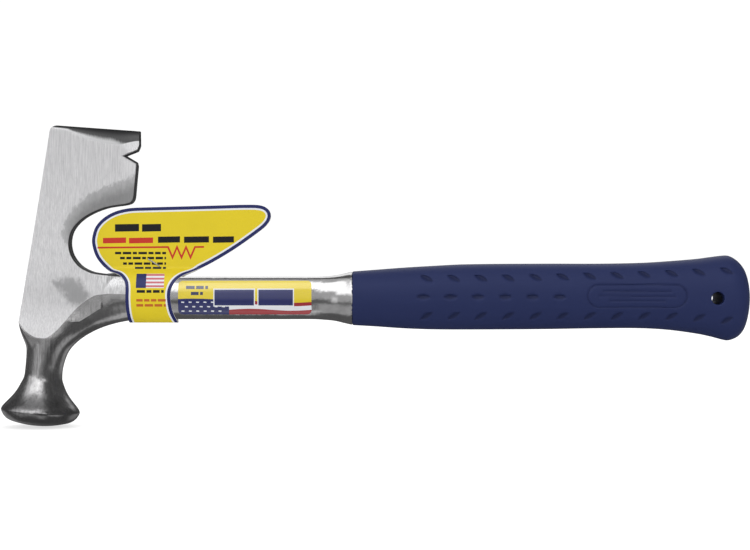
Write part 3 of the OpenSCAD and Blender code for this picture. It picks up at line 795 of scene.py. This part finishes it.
u_ = np.linspace(0, 1, 160)
w_ = np.linspace(0, math.pi / 2, 120)[1:]
half = np.concatenate([[[CARD / 2 + 0.01, 48.0]], bez4([[CARD / 2 + 0.01, 14.6], [CARD / 2 + 0.01, 12.6], [LB, 12.8], [LB, 1.0]], u_),
                       np.stack([LB * np.cos(w_), 1 - (LD + CARD / 2 + 1) * np.sin(w_)], 1)])
path = np.concatenate([half * [-1, 1], (half[::-1])[1:]])
path_s = np.concatenate([[0], np.cumsum(np.linalg.norm(np.diff(path, axis=0), axis=1))])
MID = path_s[len(half) - 1]
s_of_z = lambda z: np.interp(-np.asarray(z, float), -half[:, 1], path_s[:len(half)])     # on the front leaf
tang_v = np.gradient(path, path_s, axis=0)
tang_v /= np.linalg.norm(tang_v, axis=1)[:, None]
norm_v = np.stack([-tang_v[:, 1] * -1, tang_v[:, 0] * -1], 1)                           # turned below to point outwards
out_sign = np.sign(-(norm_v[5, 0]))
norm_v *= out_sign

tag_left = [[-279.3, -11.6], [-279.9, -8.6], [-280.3, -5], [-280.5, 0], [-280.5, 5.2], [-281.3, 8.2], [-284, 11],
            [-288.6, 12.7], [-292.2, 15.4], [-295.5, 20], [-297.1, 25.6], [-296.9, 29.6], [-295.3, 34], [-291.6, 38], [-286.2, 41], [-279.4, 42.6], [-271, 43]]
tag_right = [[-271, 43], [-255, 43.4], [-240, 43.8], [-225, 44.2], [-217.4, 43.9], [-213.6, 42], [-212.4, 38.6], [-214.4, 34.6],
             [-220, 30], [-230, 23], [-240, 17], [-248, 13], [-254, 10.4], [-257.4, 7.4], [-259.2, 3.4], [-259.3, -1], [-258.5, -6], [-257.4, -9], [-256.2, -11.6]]
front = np.concatenate([catmull(tag_left, 8), catmull(tag_right, 8)[1:]])
front = front[front[:, 1] > -11.45]
fs = np.stack([front[:, 0], s_of_z(front[:, 1])], 1)
# the sides run on round the fold, so the front and the back are one sheet
back_ = fs[::-1] * [1, -1] + [0, 2 * MID]
tag_outline = np.concatenate([fs, back_])[:, :]
tag_outline[:, 1] *= -1                                                                # so that up stays up on the front leaf


def ft(poly):
    """Side-view shape on the front leaf to the sheet's own flat layout."""
    poly = np.asarray(poly, float)
    return np.stack([poly[:, 0], -s_of_z(poly[:, 1])], 1)


def bk(poly):
    poly = np.asarray(poly, float)
    return np.stack([poly[:, 0], s_of_z(poly[:, 1]) - 2 * MID], 1)


T_PRINT = [(inset(tag_outline, 1.55), "white"), (inset(tag_outline, 2.35), "yellow")]
p2 = lambda *v: [mm(v[i], v[i + 1], 6.5 if v[i + 1] > 271 else 1.0) for i in range(0, len(v), 2)]


def front_print():
    out = []
    # a plain title bar, a line of plain blocks under it, a red rule and an even zigzag
    out += [(np.array(p2(a, 231.6, b, 231.2, b, 223.8, a, 224.2)), "black") for a, b in ((115, 139), (142, 161))]
    out += [(np.array(p2(a, 243.4, b, 242.9, b, 237.4, a, 237.9)), "red") for a, b in ((103, 126), (129, 153))]
    out += [(np.array(p2(a, 242.8, b, 242.4, b, 236.2, a, 236.6)), "black") for a, b in ((158, 180), (184, 209), (213, 234))]
    zig = p2(97.5, 247.6, 168, 247.0, 172.5, 257.5, 177, 247.0, 181.5, 257.5, 186, 247.0, 190.5, 257.5, 195, 247.0, 204, 246.8)
    out.append((stroke(zig, 0.85), "red"))
    for py, x0, seed in ((253, 115, 1), (258, 120, 2), (263.5, 123, 3), (268, 135, 4)):
        (a, z), (b, _) = mm(x0, py, 1.0), mm(166, py, 1.0)
        out += words(a, b, z, 1.15, "black", seed)
    # a small panel: a plain dark block and horizontal bands
    out.append((np.array(p2(136, 288, 164, 288, 164, 274, 136, 274)), "white"))
    for k in range(4):
        out.append((np.array(p2(146, 276.1 + 3.7 * k, 164, 276.1 + 3.7 * k, 164, 274.2 + 3.7 * k, 146, 274.2 + 3.7 * k)), "rose"))
    out.append((np.array(p2(136, 288, 146, 288, 146, 274, 136, 274)), "navy"))
    (a, z), (b, _) = mm(137, 291.4, 6.5), mm(164, 291.4, 6.5)
    out += words(a, b, z, 1.3, "black", 9)
    for py, seed in ((300.2, 6), (305.2, 7)):
        (a, z), (b, _) = mm(136.5, py, 6.5), mm(166, py, 6.5)
        out += words(a, b, z, 1.2, "orange", seed)
    return [(ft(p), c) for p, c in out]


def back_print():
    out = [(box2(-286, 32.4, -246, 35.4), "black"), (box2(-286, 28.6, -232, 29.3), "red")]
    for k, (a, b) in enumerate(((-286, -250), (-286, -244), (-284, -254), (-282, -260))):
        out += words(a, b, 25.6 - 2.6 * k, 1.0, "black", 20 + k)
    for k in range(5):
        out += words(-277.5, -263.5, 8 - 2.4 * k, 0.9, "black", 30 + k)
    return [(bk(p), c) for p, c in out]


T_PRINT += front_print() + back_print()
rows = -np.concatenate([np.arange(2, s_of_z(15.5), 3.0), np.arange(s_of_z(15.5), 2 * MID - s_of_z(15.5), 0.75), np.arange(2 * MID - s_of_z(15.5), 2 * MID - 2, 3.0)])
P, T, ink = press(tag_outline, T_PRINT, rows, np.arange(-298, -211, 3.0))


def tag_place(off):
    def f(x, v):
        s = -v
        y = np.interp(s, path_s, path[:, 0]) + off * np.interp(s, path_s, norm_v[:, 0])
        z = np.interp(s, path_s, path[:, 1]) + off * np.interp(s, path_s, norm_v[:, 1])
        # the leaves spring a little apart away from the staple, and the card has a slight roll
        up = smoothstep(16, 46, z)
        tip = np.clip((x + 262) / 50, 0, 1) ** 2 + 0.5 * np.clip((-x - 274) / 23, 0, 1) ** 2
        spread = (0.25 * up + 0.9 * tip * smoothstep(13, 26, z))
        y = y + np.where(s < MID, -1, 1) * spread
        return np.stack([x, y, z], 1)
    return f


hang_tag = sheet("card_tag", P, T, ink, T_PRINT, "navy", "card", "card", tag_place(CARD / 2), tag_place(-CARD / 2))
mark_creases(hang_tag.data, 40)
print("tag:", len(P), "points", len(T), "triangles")

# --- label film, stuck on the front of the shank
LX, LZ, LW, LH = -224.4, 0.25, 62.9, 15.9
label_outline = fillet([[LX - LW / 2, LZ - LH / 2], [LX + LW / 2, LZ - LH / 2], [LX + LW / 2, LZ + LH / 2], [LX - LW / 2, LZ + LH / 2]], [2, 2, 2, 2], 8)
x0, x1, z0, z1 = LX - LW / 2, LX + LW / 2, LZ - LH / 2, LZ + LH / 2


def wave(xa, xb, za, amp, n=26):
    x = np.linspace(xa, xb, n)
    return np.stack([x, za + amp * np.sin((x - xa) / (xb - xa) * 2 * math.pi)], 1)


def label_print():
    cut = lambda p: np.stack([np.clip(p[:, 0], x0 - 0.0, x1 + 0.0), np.clip(p[:, 1], z0, z1)], 1)
    out = []
    xm = mm(228, 0, 5.7)[0]
    zb = mm(0, 299, 5.7)[1]
    low = wave(x0 - 0.5, xm + 6, zb, 0.25)
    out.append((np.concatenate([low, [[xm + 6, z0 - 1], [x0 - 0.5, z0 - 1]]]), "navy"))
    # wavy bands to the right
    tops = [mm(0, v, 5.7)[1] for v in (301.8, 305.3, 309.7, 317.5)]
    for k, c in enumerate(("crimson", "white", "crimson")):
        a = wave(xm + 0.5, x1 + 0.5, tops[k], 0.45)
        b = wave(xm + 0.5, x1 + 0.5, tops[k + 1], 0.45)
        out.append((np.concatenate([a, b[::-1]]), c))
    for r in range(3):
        for c in range(6):
            cx, cz = x0 + 2.2 + 3.5 * c + (1.7 if r % 2 else 0), zb - 1.5 - 2.1 * r
            if cx > xm - 1 or cz < z0 + 0.6:
                continue
            out.append((np.array([[cx - 0.75, cz - 0.22], [cx + 0.6, cz - 0.32], [cx + 0.75, cz + 0.22], [cx - 0.6, cz + 0.32]]), "white"))
    for py, a, b, s in ((287.4, 186, 208, 41), (293.4, 191, 203, 42)):
        (xa, z), (xb, _) = mm(a, py, 5.7), mm(b, py, 5.7)
        out += words(xa, xb, z, 1.5, "deep", s)
    # a plain dark block with a white keyline, in two lengths
    for a, b in ((214.5, 254), (258.5, 293)):
        (xa, zl), (xb, zh) = mm(a, 305.4, 5.7), mm(b, 289.6, 5.7)
        out.append((box2(xa - 0.5, zl - 0.5, xb + 0.5, zh + 0.5), "white"))
        out.append((box2(xa, zl, xb, zh), "navy"))
    return out


L_PRINT = [(np.array([p for p in poly]), c) for poly, c in label_print()]
P, T, ink = press(label_outline, L_PRINT, np.arange(z0 + 0.5, z1, 0.7), np.arange(x0 + 1, x1, 2.0))
film = lambda off: (lambda x, z: np.stack([x, -(5.6 + off) * np.power(1 - spow(z / (10.1 + off), 2.15), 1 / 2.15), z], 1))
label = sheet("shank_film", P, T, ink, L_PRINT, "yellow", "white", "white", film(0.17), film(0.03))
mark_creases(label.data, 40)
print("label:", len(P), "points", len(T), "triangles")

# ------------------------------------------------------------------ the staple: round wire with bent corners
def swept(name, pts, r, n=12):
    p = np.array(pts, float)
    d = np.gradient(p, axis=0)
    d /= np.linalg.norm(d, axis=1)[:, None]
    up = np.cross(d[0], [0.3, 0.1, 1.0])
    vs, fs_ = [], []
    for i in range(len(p)):
        up = up - d[i] * (up @ d[i])
        up /= np.linalg.norm(up)
        w = np.cross(d[i], up)
        scale = 1.0
        for k in range(n):
            a = 2 * math.pi * k / n
            vs.append(p[i] + r * (math.cos(a) * up + 0.86 * math.sin(a) * w))
    m = len(p)
    for i in range(m - 1):
        for k in range(n):
            fs_.append((i * n + k, i * n + (k + 1) % n, (i + 1) * n + (k + 1) % n, (i + 1) * n + k))
    # chisel-cut wire ends
    vs.append(p[0] - d[0] * r * 0.5)
    vs.append(p[-1] + d[-1] * r * 0.5)
    for k in range(n):
        fs_.append((len(vs) - 2, (k + 1) % n, k))
        fs_.append((len(vs) - 1, (m - 1) * n + k, (m - 1) * n + (k + 1) % n))
    return new_mesh(name, vs, fs_)


WIRE, HALF = 0.55, 3.1
yc = CARD + 0.03 + WIRE / 2
corner = fillet([[-HALF + 2.4, yc], [-HALF, yc], [-HALF, -yc], [HALF, -yc], [HALF, yc], [HALF - 2.4, yc]], [0, 0.42, 0.42, 0.42, 0.42, 0], 7)
dense = [corner[0]]
for a, b in zip(corner[:-1], corner[1:]):
    k = max(1, int(np.linalg.norm(b - a) / 0.35))
    dense += [a + (b - a) * (t + 1) / k for t in range(k)]
turn = math.radians(33)
st = []
for u, y in dense:
    bow = 0.0
    if y < 0 and abs(u) < HALF - 0.3:
        bow = 0.05 * math.cos(u / HALF * math.pi / 2)
    st.append((-267.9 + u * math.cos(turn), y - bow, 16.8 - u * math.sin(turn)))
staple = swept("wire_staple", st, WIRE / 2)
mark_creases(staple.data, 50)

# ------------------------------------------------------------------ materials

def put(t, sock, val):
    if isinstance(val, bpy.types.NodeSocket):
        t.links.new(val, sock)
    elif val is not None:
        sock.default_value = val


def N(t, kind, ins=None, out=0, **props):
    n = t.nodes.new(kind)
    for k, v in props.items():
        setattr(n, k, v)
    for k, v in (ins or {}).items():
        put(t, n.inputs[k], v)
    return n.outputs[out]


def M(t, op, a, b=None, c=None, clamp=False):
    return N(t, "ShaderNodeMath", {i: v for i, v in enumerate((a, b, c)) if v is not None}, operation=op, use_clamp=clamp)


def ramp01(t, x, lo, hi):
    return N(t, "ShaderNodeMapRange", {"Value": x, "From Min": lo, "From Max": hi, "To Min": 0.0, "To Max": 1.0}, interpolation_type="SMOOTHSTEP", clamp=True)


def attr(t, name):
    return N(t, "ShaderNodeAttribute", out=2, attribute_name=name)


def noise(t, vec, scale, detail=2.0, rough=0.5):
    return N(t, "ShaderNodeTexNoise", {"Vector": vec, "Scale": scale, "Detail": detail, "Roughness": rough})


def coords(t, scale=(1, 1, 1), rot=(0, 0, 0)):
    """Object coordinates in mm, turned and stretched."""
    o = N(t, "ShaderNodeTexCoord", out=3)
    return N(t, "ShaderNodeMapping", {"Vector": o, "Scale": tuple(1000 * v for v in scale), "Rotation": rot})


def mix(t, fac, a, b, blend="MIX"):
    n = t.nodes.new("ShaderNodeMix")
    n.data_type = "RGBA"
    n.blend_type = blend
    put(t, n.inputs[0], fac)
    for s, v in ((6, a), (7, b)):
        put(t, n.inputs[s], (*v, 1.0) if isinstance(v, tuple) else v)
    return n.outputs[2]


def mixf(t, fac, a, b):
    n = t.nodes.new("ShaderNodeMix")
    n.data_type = "FLOAT"
    put(t, n.inputs[0], fac)
    put(t, n.inputs[2], a)
    put(t, n.inputs[3], b)
    return n.outputs[0]


def material(name):
    m = bpy.data.materials.new(name)
    m.use_nodes = True
    t = m.node_tree
    t.nodes.clear()
    b = t.nodes.new("ShaderNodeBsdfPrincipled")
    o = t.nodes.new("ShaderNodeOutputMaterial")
    t.links.new(b.outputs[0], o.inputs[0])
    return m, t, b


def bump(t, height, dist, strength=1.0, normal=None):
    n = t.nodes.new("ShaderNodeBump")
    put(t, n.inputs["Height"], height)
    n.inputs["Distance"].default_value = dist
    put(t, n.inputs["Strength"], strength)
    if normal is not None:
        t.links.new(normal, n.inputs["Normal"])
    return n.outputs[0]


# --- steel: polished dark forging with ground and brushed cheeks
m_steel, t, b = material("forged_and_ground_steel")
ground, bevelm, edge_s = attr(t, "ground"), attr(t, "bevel"), attr(t, "edge")
lines = noise(t, coords(t, (3.2, 3.2, 0.055), (0, math.radians(-6), 0)), 1.0, 4.0, 0.6)       # brush lines along the blade
lines2 = noise(t, coords(t, (9.0, 9.0, 0.12), (0, math.radians(-3), 0)), 1.0, 3.0, 0.6)
cloud = noise(t, coords(t, (0.05, 0.05, 0.04)), 1.0, 3.0, 0.55)
blot = noise(t, coords(t, (0.5, 0.5, 0.28)), 1.0, 4.0, 0.65)
cheek_mask = ramp01(t, M(t, "ADD", ground, M(t, "MULTIPLY", M(t, "SUBTRACT", blot, 0.5), 0.22)), -0.05, 0.10)
jag = M(t, "ADD", M(t, "MULTIPLY", M(t, "SUBTRACT", lines, 0.5), 4.0), M(t, "MULTIPLY", M(t, "SUBTRACT", blot, 0.5), 6.5))
reflection_a_mask = ramp01(t, M(t, "ADD", attr(t, "painted_reflection_a"), jag), -0.7, 1.1)
reflection_a_mask = M(t, "MULTIPLY", reflection_a_mask, M(t, "ADD", 0.55, M(t, "MULTIPLY", ramp01(t, M(t, "ADD", attr(t, "painted_reflection_a"), M(t, "MULTIPLY", jag, 0.8)), 0.5, 7.0), 0.45)))
reflection_b_mask = ramp01(t, M(t, "ADD", attr(t, "painted_reflection_b"), M(t, "MULTIPLY", jag, 1.1)), -1.8, 2.2)
pc = ramp01(t, attr(t, "patch_c"), -1.0, 1.5)
diag = noise(t, coords(t, (2.6, 2.6, 0.09), (0, math.radians(-48), 0)), 1.0, 3.0, 0.6)
base = mix(t, cloud, (0.84, 0.835, 0.845), (0.93, 0.925, 0.935))
base = mix(t, ramp01(t, lines, 0.30, 0.72), mix(t, 1.0, base, (0.77, 0.77, 0.775), "MULTIPLY"), base)
base = mix(t, ramp01(t, lines2, 0.35, 0.68), mix(t, 1.0, base, (0.88, 0.88, 0.885), "MULTIPLY"), base)
scuff = ramp01(t, noise(t, coords(t, (0.9, 0.9, 0.5)), 1.0, 4.0, 0.7), 0.52, 0.68)
base = mix(t, M(t, "MULTIPLY", scuff, 0.30), base, mix(t, 1.0, base, (0.80, 0.80, 0.81), "MULTIPLY"))
# areas a and b: painted reflection, darker steel where the cheek's differently ground facets would mirror dark
# surroundings
base = mix(t, reflection_a_mask, base, mix(t, lines, (0.24, 0.24, 0.243), (0.34, 0.34, 0.344)))
base = mix(t, M(t, "MULTIPLY", reflection_b_mask, 0.92), base, mix(t, lines, (0.32, 0.32, 0.325), (0.42, 0.42, 0.43)))
base = mix(t, M(t, "MULTIPLY", pc, 0.8), base, mix(t, ramp01(t, diag, 0.35, 0.65), (0.58, 0.58, 0.59), (0.95, 0.95, 0.96)))
# the bevel: a near-black band of painted dark reflection at the cutting edge, lighter away from the edge, with a
# painted highlight as a bright band under it
bev = ramp01(t, bevelm, 0.0, 0.05)
oxyz = t.nodes.new("ShaderNodeSeparateXYZ")
t.links.new(coords(t), oxyz.inputs[0])
reach = M(t, "SUBTRACT", edge_s, M(t, "MULTIPLY", ramp01(t, oxyz.outputs[0], -285.0, -276.0), 0.40))
# bright band under the dark one: painted highlight along the bevel's lower boundary
bevel_highlight_band = ramp01(t, M(t, "ADD", reach, M(t, "MULTIPLY", M(t, "SUBTRACT", lines, 0.5), 0.22)), 0.50, 0.86)
bevel_painted_reflection = mix(t, ramp01(t, edge_s, 0.05, 0.62), (0.022, 0.022, 0.023), mix(t, lines, (0.070, 0.070, 0.071), (0.135, 0.135, 0.137)))
bevel_painted_reflection = mix(t, bevel_highlight_band, bevel_painted_reflection, (0.64, 0.64, 0.65))
base = mix(t, bev, base, bevel_painted_reflection)
to_shank = ramp01(t, oxyz.outputs[0], -312.0, -262.0)
mott = ramp01(t, noise(t, coords(t, (0.16, 0.16, 0.16)), 1.0, 4.0, 0.6), 0.3, 0.75)
dark = mix(t, to_shank, mix(t, mott, (0.42, 0.415, 0.42), (0.52, 0.515, 0.52)), mix(t, mott, (0.60, 0.595, 0.60), (0.70, 0.695, 0.70)))
pits = ramp01(t, noise(t, coords(t, (1.5, 1.5, 1.5)), 1.0, 3.0, 0.7), 0.66, 0.78)
dark = mix(t, M(t, "MULTIPLY", pits, 0.35), dark, (0.22, 0.22, 0.225))
low = ramp01(t, oxyz.outputs[2], -44.0, -50.0)
streak = noise(t, coords(t, (1.1, 1.1, 0.07)), 1.0, 3.0, 0.6)
dark = mix(t, M(t, "MULTIPLY", ramp01(t, streak, 0.50, 0.66), M(t, "SUBTRACT", 0.45, M(t, "MULTIPLY", to_shank, 0.45))), dark, mix(t, 1.0, dark, (0.55, 0.55, 0.55), "MULTIPLY"))
dark = mix(t, M(t, "MULTIPLY", low, 0.75), dark, mix(t, 1.0, dark, (0.55, 0.55, 0.555), "MULTIPLY"))
col = mix(t, cheek_mask, dark, base)
# near-black band along the outside edges and the notch: painted shade where the thin edge turns away from the light
rim = M(t, "SUBTRACT", 1.0, ramp01(t, M(t, "ADD", attr(t, "rim"), M(t, "MULTIPLY", M(t, "SUBTRACT", blot, 0.5), 0.25)), 0.62, 0.85))
col = mix(t, rim, col, (0.075, 0.075, 0.078))
put(t, b.inputs["Base Color"], col)
put(t, b.inputs["Metallic"], M(t, "SUBTRACT", 1.0, M(t, "MULTIPLY", M(t, "MULTIPLY", cheek_mask, M(t, "SUBTRACT", 1.0, bev)), 0.40)))
r_cheek = M(t, "ADD", 0.36, M(t, "MULTIPLY", lines, 0.16))
r_dark = M(t, "ADD", mixf(t, to_shank, 0.20, 0.10), M(t, "MULTIPLY", noise(t, coords(t, (0.3, 0.3, 0.3)), 1.0, 4.0, 0.6), 0.10))
put(t, b.inputs["Roughness"], mixf(t, cheek_mask, r_dark, r_cheek))
hb_ = M(t, "ADD", M(t, "MULTIPLY", lines, 0.6), M(t, "MULTIPLY", lines2, 0.4))
wobble = noise(t, coords(t, (0.12, 0.12, 0.12)), 1.0, 3.0, 0.5)
wobble = M(t, "ADD", wobble, M(t, "MULTIPLY", noise(t, coords(t, (0.5, 0.5, 0.05)), 1.0, 2.0, 0.5), M(t, "SUBTRACT", 0.22, M(t, "MULTIPLY", to_shank, 0.22))))
bn = bump(t, wobble, 0.00024, M(t, "SUBTRACT", 1.0, M(t, "MULTIPLY", cheek_mask, 0.85)))
bn = bump(t, hb_, 0.00003, M(t, "MULTIPLY", cheek_mask, 0.9), bn)
put(t, b.inputs["Normal"], bn)
forging.data.materials.append(m_steel)

# --- grip: satin moulded vinyl
m_grip, t, b = material("navy_moulded_vinyl")
c1 = noise(t, coords(t, (0.03, 0.05, 0.05)), 1.0, 3.0, 0.5)
g1 = noise(t, coords(t, (4.5, 4.5, 4.5)), 1.0, 3.0, 0.6)
flow = noise(t, coords(t, (0.05, 0.4, 0.4)), 1.0, 3.0, 0.6)
vcol = mix(t, c1, (0.0125, 0.021, 0.088), (0.0165, 0.027, 0.104))
vcol = mix(t, M(t, "MULTIPLY", ramp01(t, flow, 0.5, 0.8), 0.22), vcol, (0.022, 0.034, 0.118))
# darker with the depth of the dimples and the cartouche: painted shade in the recesses, though the vinyl itself is one
# colour
vcol = mix(t, M(t, "MULTIPLY", ramp01(t, attr(t, "sunk"), 0.05, 0.8), 0.5), vcol, (0.005, 0.008, 0.036))
put(t, b.inputs["Base Color"], vcol)
put(t, b.inputs["Roughness"], M(t, "ADD", 0.46, M(t, "MULTIPLY", g1, 0.12)))
put(t, b.inputs["Specular IOR Level"], 0.24)
put(t, b.inputs["Normal"], bump(t, M(t, "ADD", g1, M(t, "MULTIPLY", flow, 0.6)), 0.00005, 0.6))
grip.data.materials.append(m_grip)


def printed(name, rough, coat, fibre, gloss):
    m, t, b = material(name)
    inkc = N(t, "ShaderNodeVertexColor", layer_name="ink")
    f1 = noise(t, coords(t, (1.6, 1.6, 1.6)), 1.0, 4.0, 0.6)
    f2 = noise(t, coords(t, (0.07, 0.07, 0.07)), 1.0, 2.0, 0.5)
    v = M(t, "ADD", 0.93, M(t, "MULTIPLY", f1, 0.08))
    v = M(t, "ADD", v, M(t, "MULTIPLY", M(t, "SUBTRACT", f2, 0.5), 0.10))
    col = N(t, "ShaderNodeVectorMath", {0: inkc, 3: v}, operation="SCALE")
    put(t, b.inputs["Base Color"], col)
    put(t, b.inputs["Roughness"], M(t, "ADD", rough, M(t, "MULTIPLY", f1, 0.1)))
    put(t, b.inputs["Coat Weight"], coat)
    put(t, b.inputs["Specular IOR Level"], gloss)
    put(t, b.inputs["Coat Roughness"], 0.12)
    put(t, b.inputs["Normal"], bump(t, f1, fibre, 0.7))
    return m


hang_tag.data.materials.append(printed("printed_coated_card", 0.42, 0.15, 0.00003, 0.35))
label.data.materials.append(printed("printed_gloss_film", 0.16, 1.0, 0.000012, 1.0))
m_wire, t, b = material("bright_drawn_wire")
dl = noise(t, coords(t, (6, 6, 1.5), (0, 0.5, 0)), 1.0, 3.0, 0.6)
put(t, b.inputs["Base Color"], mix(t, dl, (0.62, 0.62, 0.64), (0.82, 0.82, 0.84)))
put(t, b.inputs["Metallic"], 1.0)
put(t, b.inputs["Roughness"], M(t, "ADD", 0.16, M(t, "MULTIPLY", dl, 0.14)))
put(t, b.inputs["Normal"], bump(t, dl, 0.00002, 0.5))
staple.data.materials.append(m_wire)

# ------------------------------------------------------------------ place in the frame
for piece, body, node, slot in ((forging, "tool", "forging", "forged_steel"), (grip, "tool", "grip", "grip_vinyl"), (label, "tool", "shank_label", "label_film"),
                                (hang_tag, "tag", "hang_tag", "printed_card"), (staple, "tag", "tag_staple", "staple_wire")):
    piece.data.transform(Matrix.Translation((0.0029, 0, 0)))        # the tables count from 2.9 mm behind the hang hole
    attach(piece, body)
    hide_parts(node)

# ------------------------------------------------------------------ floor, light and camera
lo = Vector(cad_lo)
floor_z = float(cad_lo[2]) - 0.0004
nf = 48
fv, ff = [], []
for i in range(nf + 1):
    for j in range(nf + 1):
        fv.append(((i / nf - 0.5) * 60000 - 160, (j / nf - 0.5) * 60000, floor_z * 1000))
for i in range(nf):
    for j in range(nf):
        a = i * (nf + 1) + j
        ff.append((a, a + nf + 1, a + nf + 2, a + 1))
floor = new_mesh("pale_floor", fv, ff)
m_floor = bpy.data.materials.new("pale_floor")
m_floor.use_nodes = True
t = m_floor.node_tree
t.nodes.clear()
em = N(t, "ShaderNodeEmission", {"Color": (1, 1, 1, 1), "Strength": 0.66})
df = N(t, "ShaderNodeBsdfDiffuse", {"Color": (0.50, 0.50, 0.50, 1)})
both = t.nodes.new("ShaderNodeAddShader")
t.links.new(em, both.inputs[0])
t.links.new(df, both.inputs[1])
only = t.nodes.new("ShaderNodeMixShader")
cam_ray = N(t, "ShaderNodeLightPath", out=0)
df2 = N(t, "ShaderNodeBsdfDiffuse", {"Color": (0.75, 0.75, 0.75, 1)})
put(t, only.inputs[0], cam_ray)
t.links.new(df2, only.inputs[1])
t.links.new(both.outputs[0], only.inputs[2])
o = t.nodes.new("ShaderNodeOutputMaterial")
t.links.new(only.outputs[0], o.inputs[0])
floor.data.materials.append(m_floor)
floor.visible_glossy = False
hang_tag.visible_glossy = False                                 # keeps the card's yellow out of the polished bell

world = bpy.data.worlds.new("studio")
bpy.context.scene.world = world
world.use_nodes = True
world.cycles.sampling_method = "NONE"
t = world.node_tree
t.nodes.clear()
d = N(t, "ShaderNodeTexCoord", out=0)
sep = t.nodes.new("ShaderNodeSeparateXYZ")
t.links.new(d, sep.inputs[0])
wx, wy, wz = sep.outputs
az = M(t, "DEGREES", M(t, "ARCTAN2", wx, M(t, "MULTIPLY", wy, -1.0)))        # 0 towards the camera, negative to its left
el = M(t, "DEGREES", M(t, "ARCSINE", wz))


def window(a0, a1, e0, e1, sa, se, power, centre=0.0):
    a = az if centre == 0 else M(t, "SUBTRACT", 180.0, M(t, "ABSOLUTE", az))
    wa = M(t, "MULTIPLY", ramp01(t, a, a0 - sa, a0 + sa), M(t, "SUBTRACT", 1.0, ramp01(t, a, a1 - sa, a1 + sa)))
    we = M(t, "MULTIPLY", ramp01(t, el, e0 - se, e0 + se), M(t, "SUBTRACT", 1.0, ramp01(t, el, e1 - se, e1 + se)))
    return M(t, "MULTIPLY", M(t, "MULTIPLY", wa, we), power)


def total(parts):
    v = parts[0]
    for p in parts[1:]:
        v = M(t, "ADD", v, p)
    return v


glossy_env = total([
    0.11,
    window(-58, -30, 7, 55, 5, 2.5, 1.55),           # the main soft box, high in front, in panels
    window(-87, -58, 7, 55, 5, 2.5, 0.75),
    window(-30, -5, 17, 55, 3, 2.5, 1.55),
    window(-9, 18, 26, 57, 4, 2.5, 1.55),
    window(-12, 20, 57, 68, 4, 2.5, 0.85),
    window(5, 32, 11, 26, 4, 3, 1.30),
    window(-87, 50, 55, 88, 5, 3, 0.42),
    window(-30, 6, -3, 17, 3, 2.5, 0.36),
    window(-62, -30, -8, 6, 5, 3, 0.34),             # its spill to the left
    window(-33, -20, -10, 2, 2, 2, 0.55),
    window(-40, -4, -52, -14, 4, 4, 0.28),
    window(-9, 25, -74, -42, 5, 5, 0.42),            # the table's bounce
    window(34, 75, -46, -18, 8, 5, 0.45),
    window(-80, -42, -50, -16, 6, 6, 0.30),
    window(-5, 34, 22, 66, 8, 6, 1.1, centre=180),   # a second box behind
    window(20, 60, -40, -6, 8, 6, 0.30, centre=180),
])
diffuse_env = M(t, "ADD", M(t, "ADD", 0.70, M(t, "MULTIPLY", wz, 0.34)), M(t, "MULTIPLY", M(t, "ABSOLUTE", wy), 0.42))
lp = t.nodes.new("ShaderNodeLightPath")
val = mixf(t, lp.outputs["Is Glossy Ray"], diffuse_env, glossy_env)
val = mixf(t, lp.outputs["Is Camera Ray"], val, 1.05)
bg = t.nodes.new("ShaderNodeBackground")
bg.inputs["Color"].default_value = (1, 1, 1, 1)
put(t, bg.inputs["Strength"], val)
wo = t.nodes.new("ShaderNodeOutputWorld")
t.links.new(bg.outputs[0], wo.inputs[0])

cam = bpy.data.cameras.new("camera")
cam.lens, cam.sensor_width = 80.88, 36
cam.clip_start, cam.clip_end = 0.01, 100
camera = bpy.data.objects.new("camera", cam)
bpy.context.scene.collection.objects.link(camera)
camera.location = (-0.1601, -0.8, 0.0109)
camera.rotation_euler = (math.pi / 2, 0, 0)
bpy.context.scene.camera = camera
bpy.context.scene.view_settings.view_transform = "Standard"
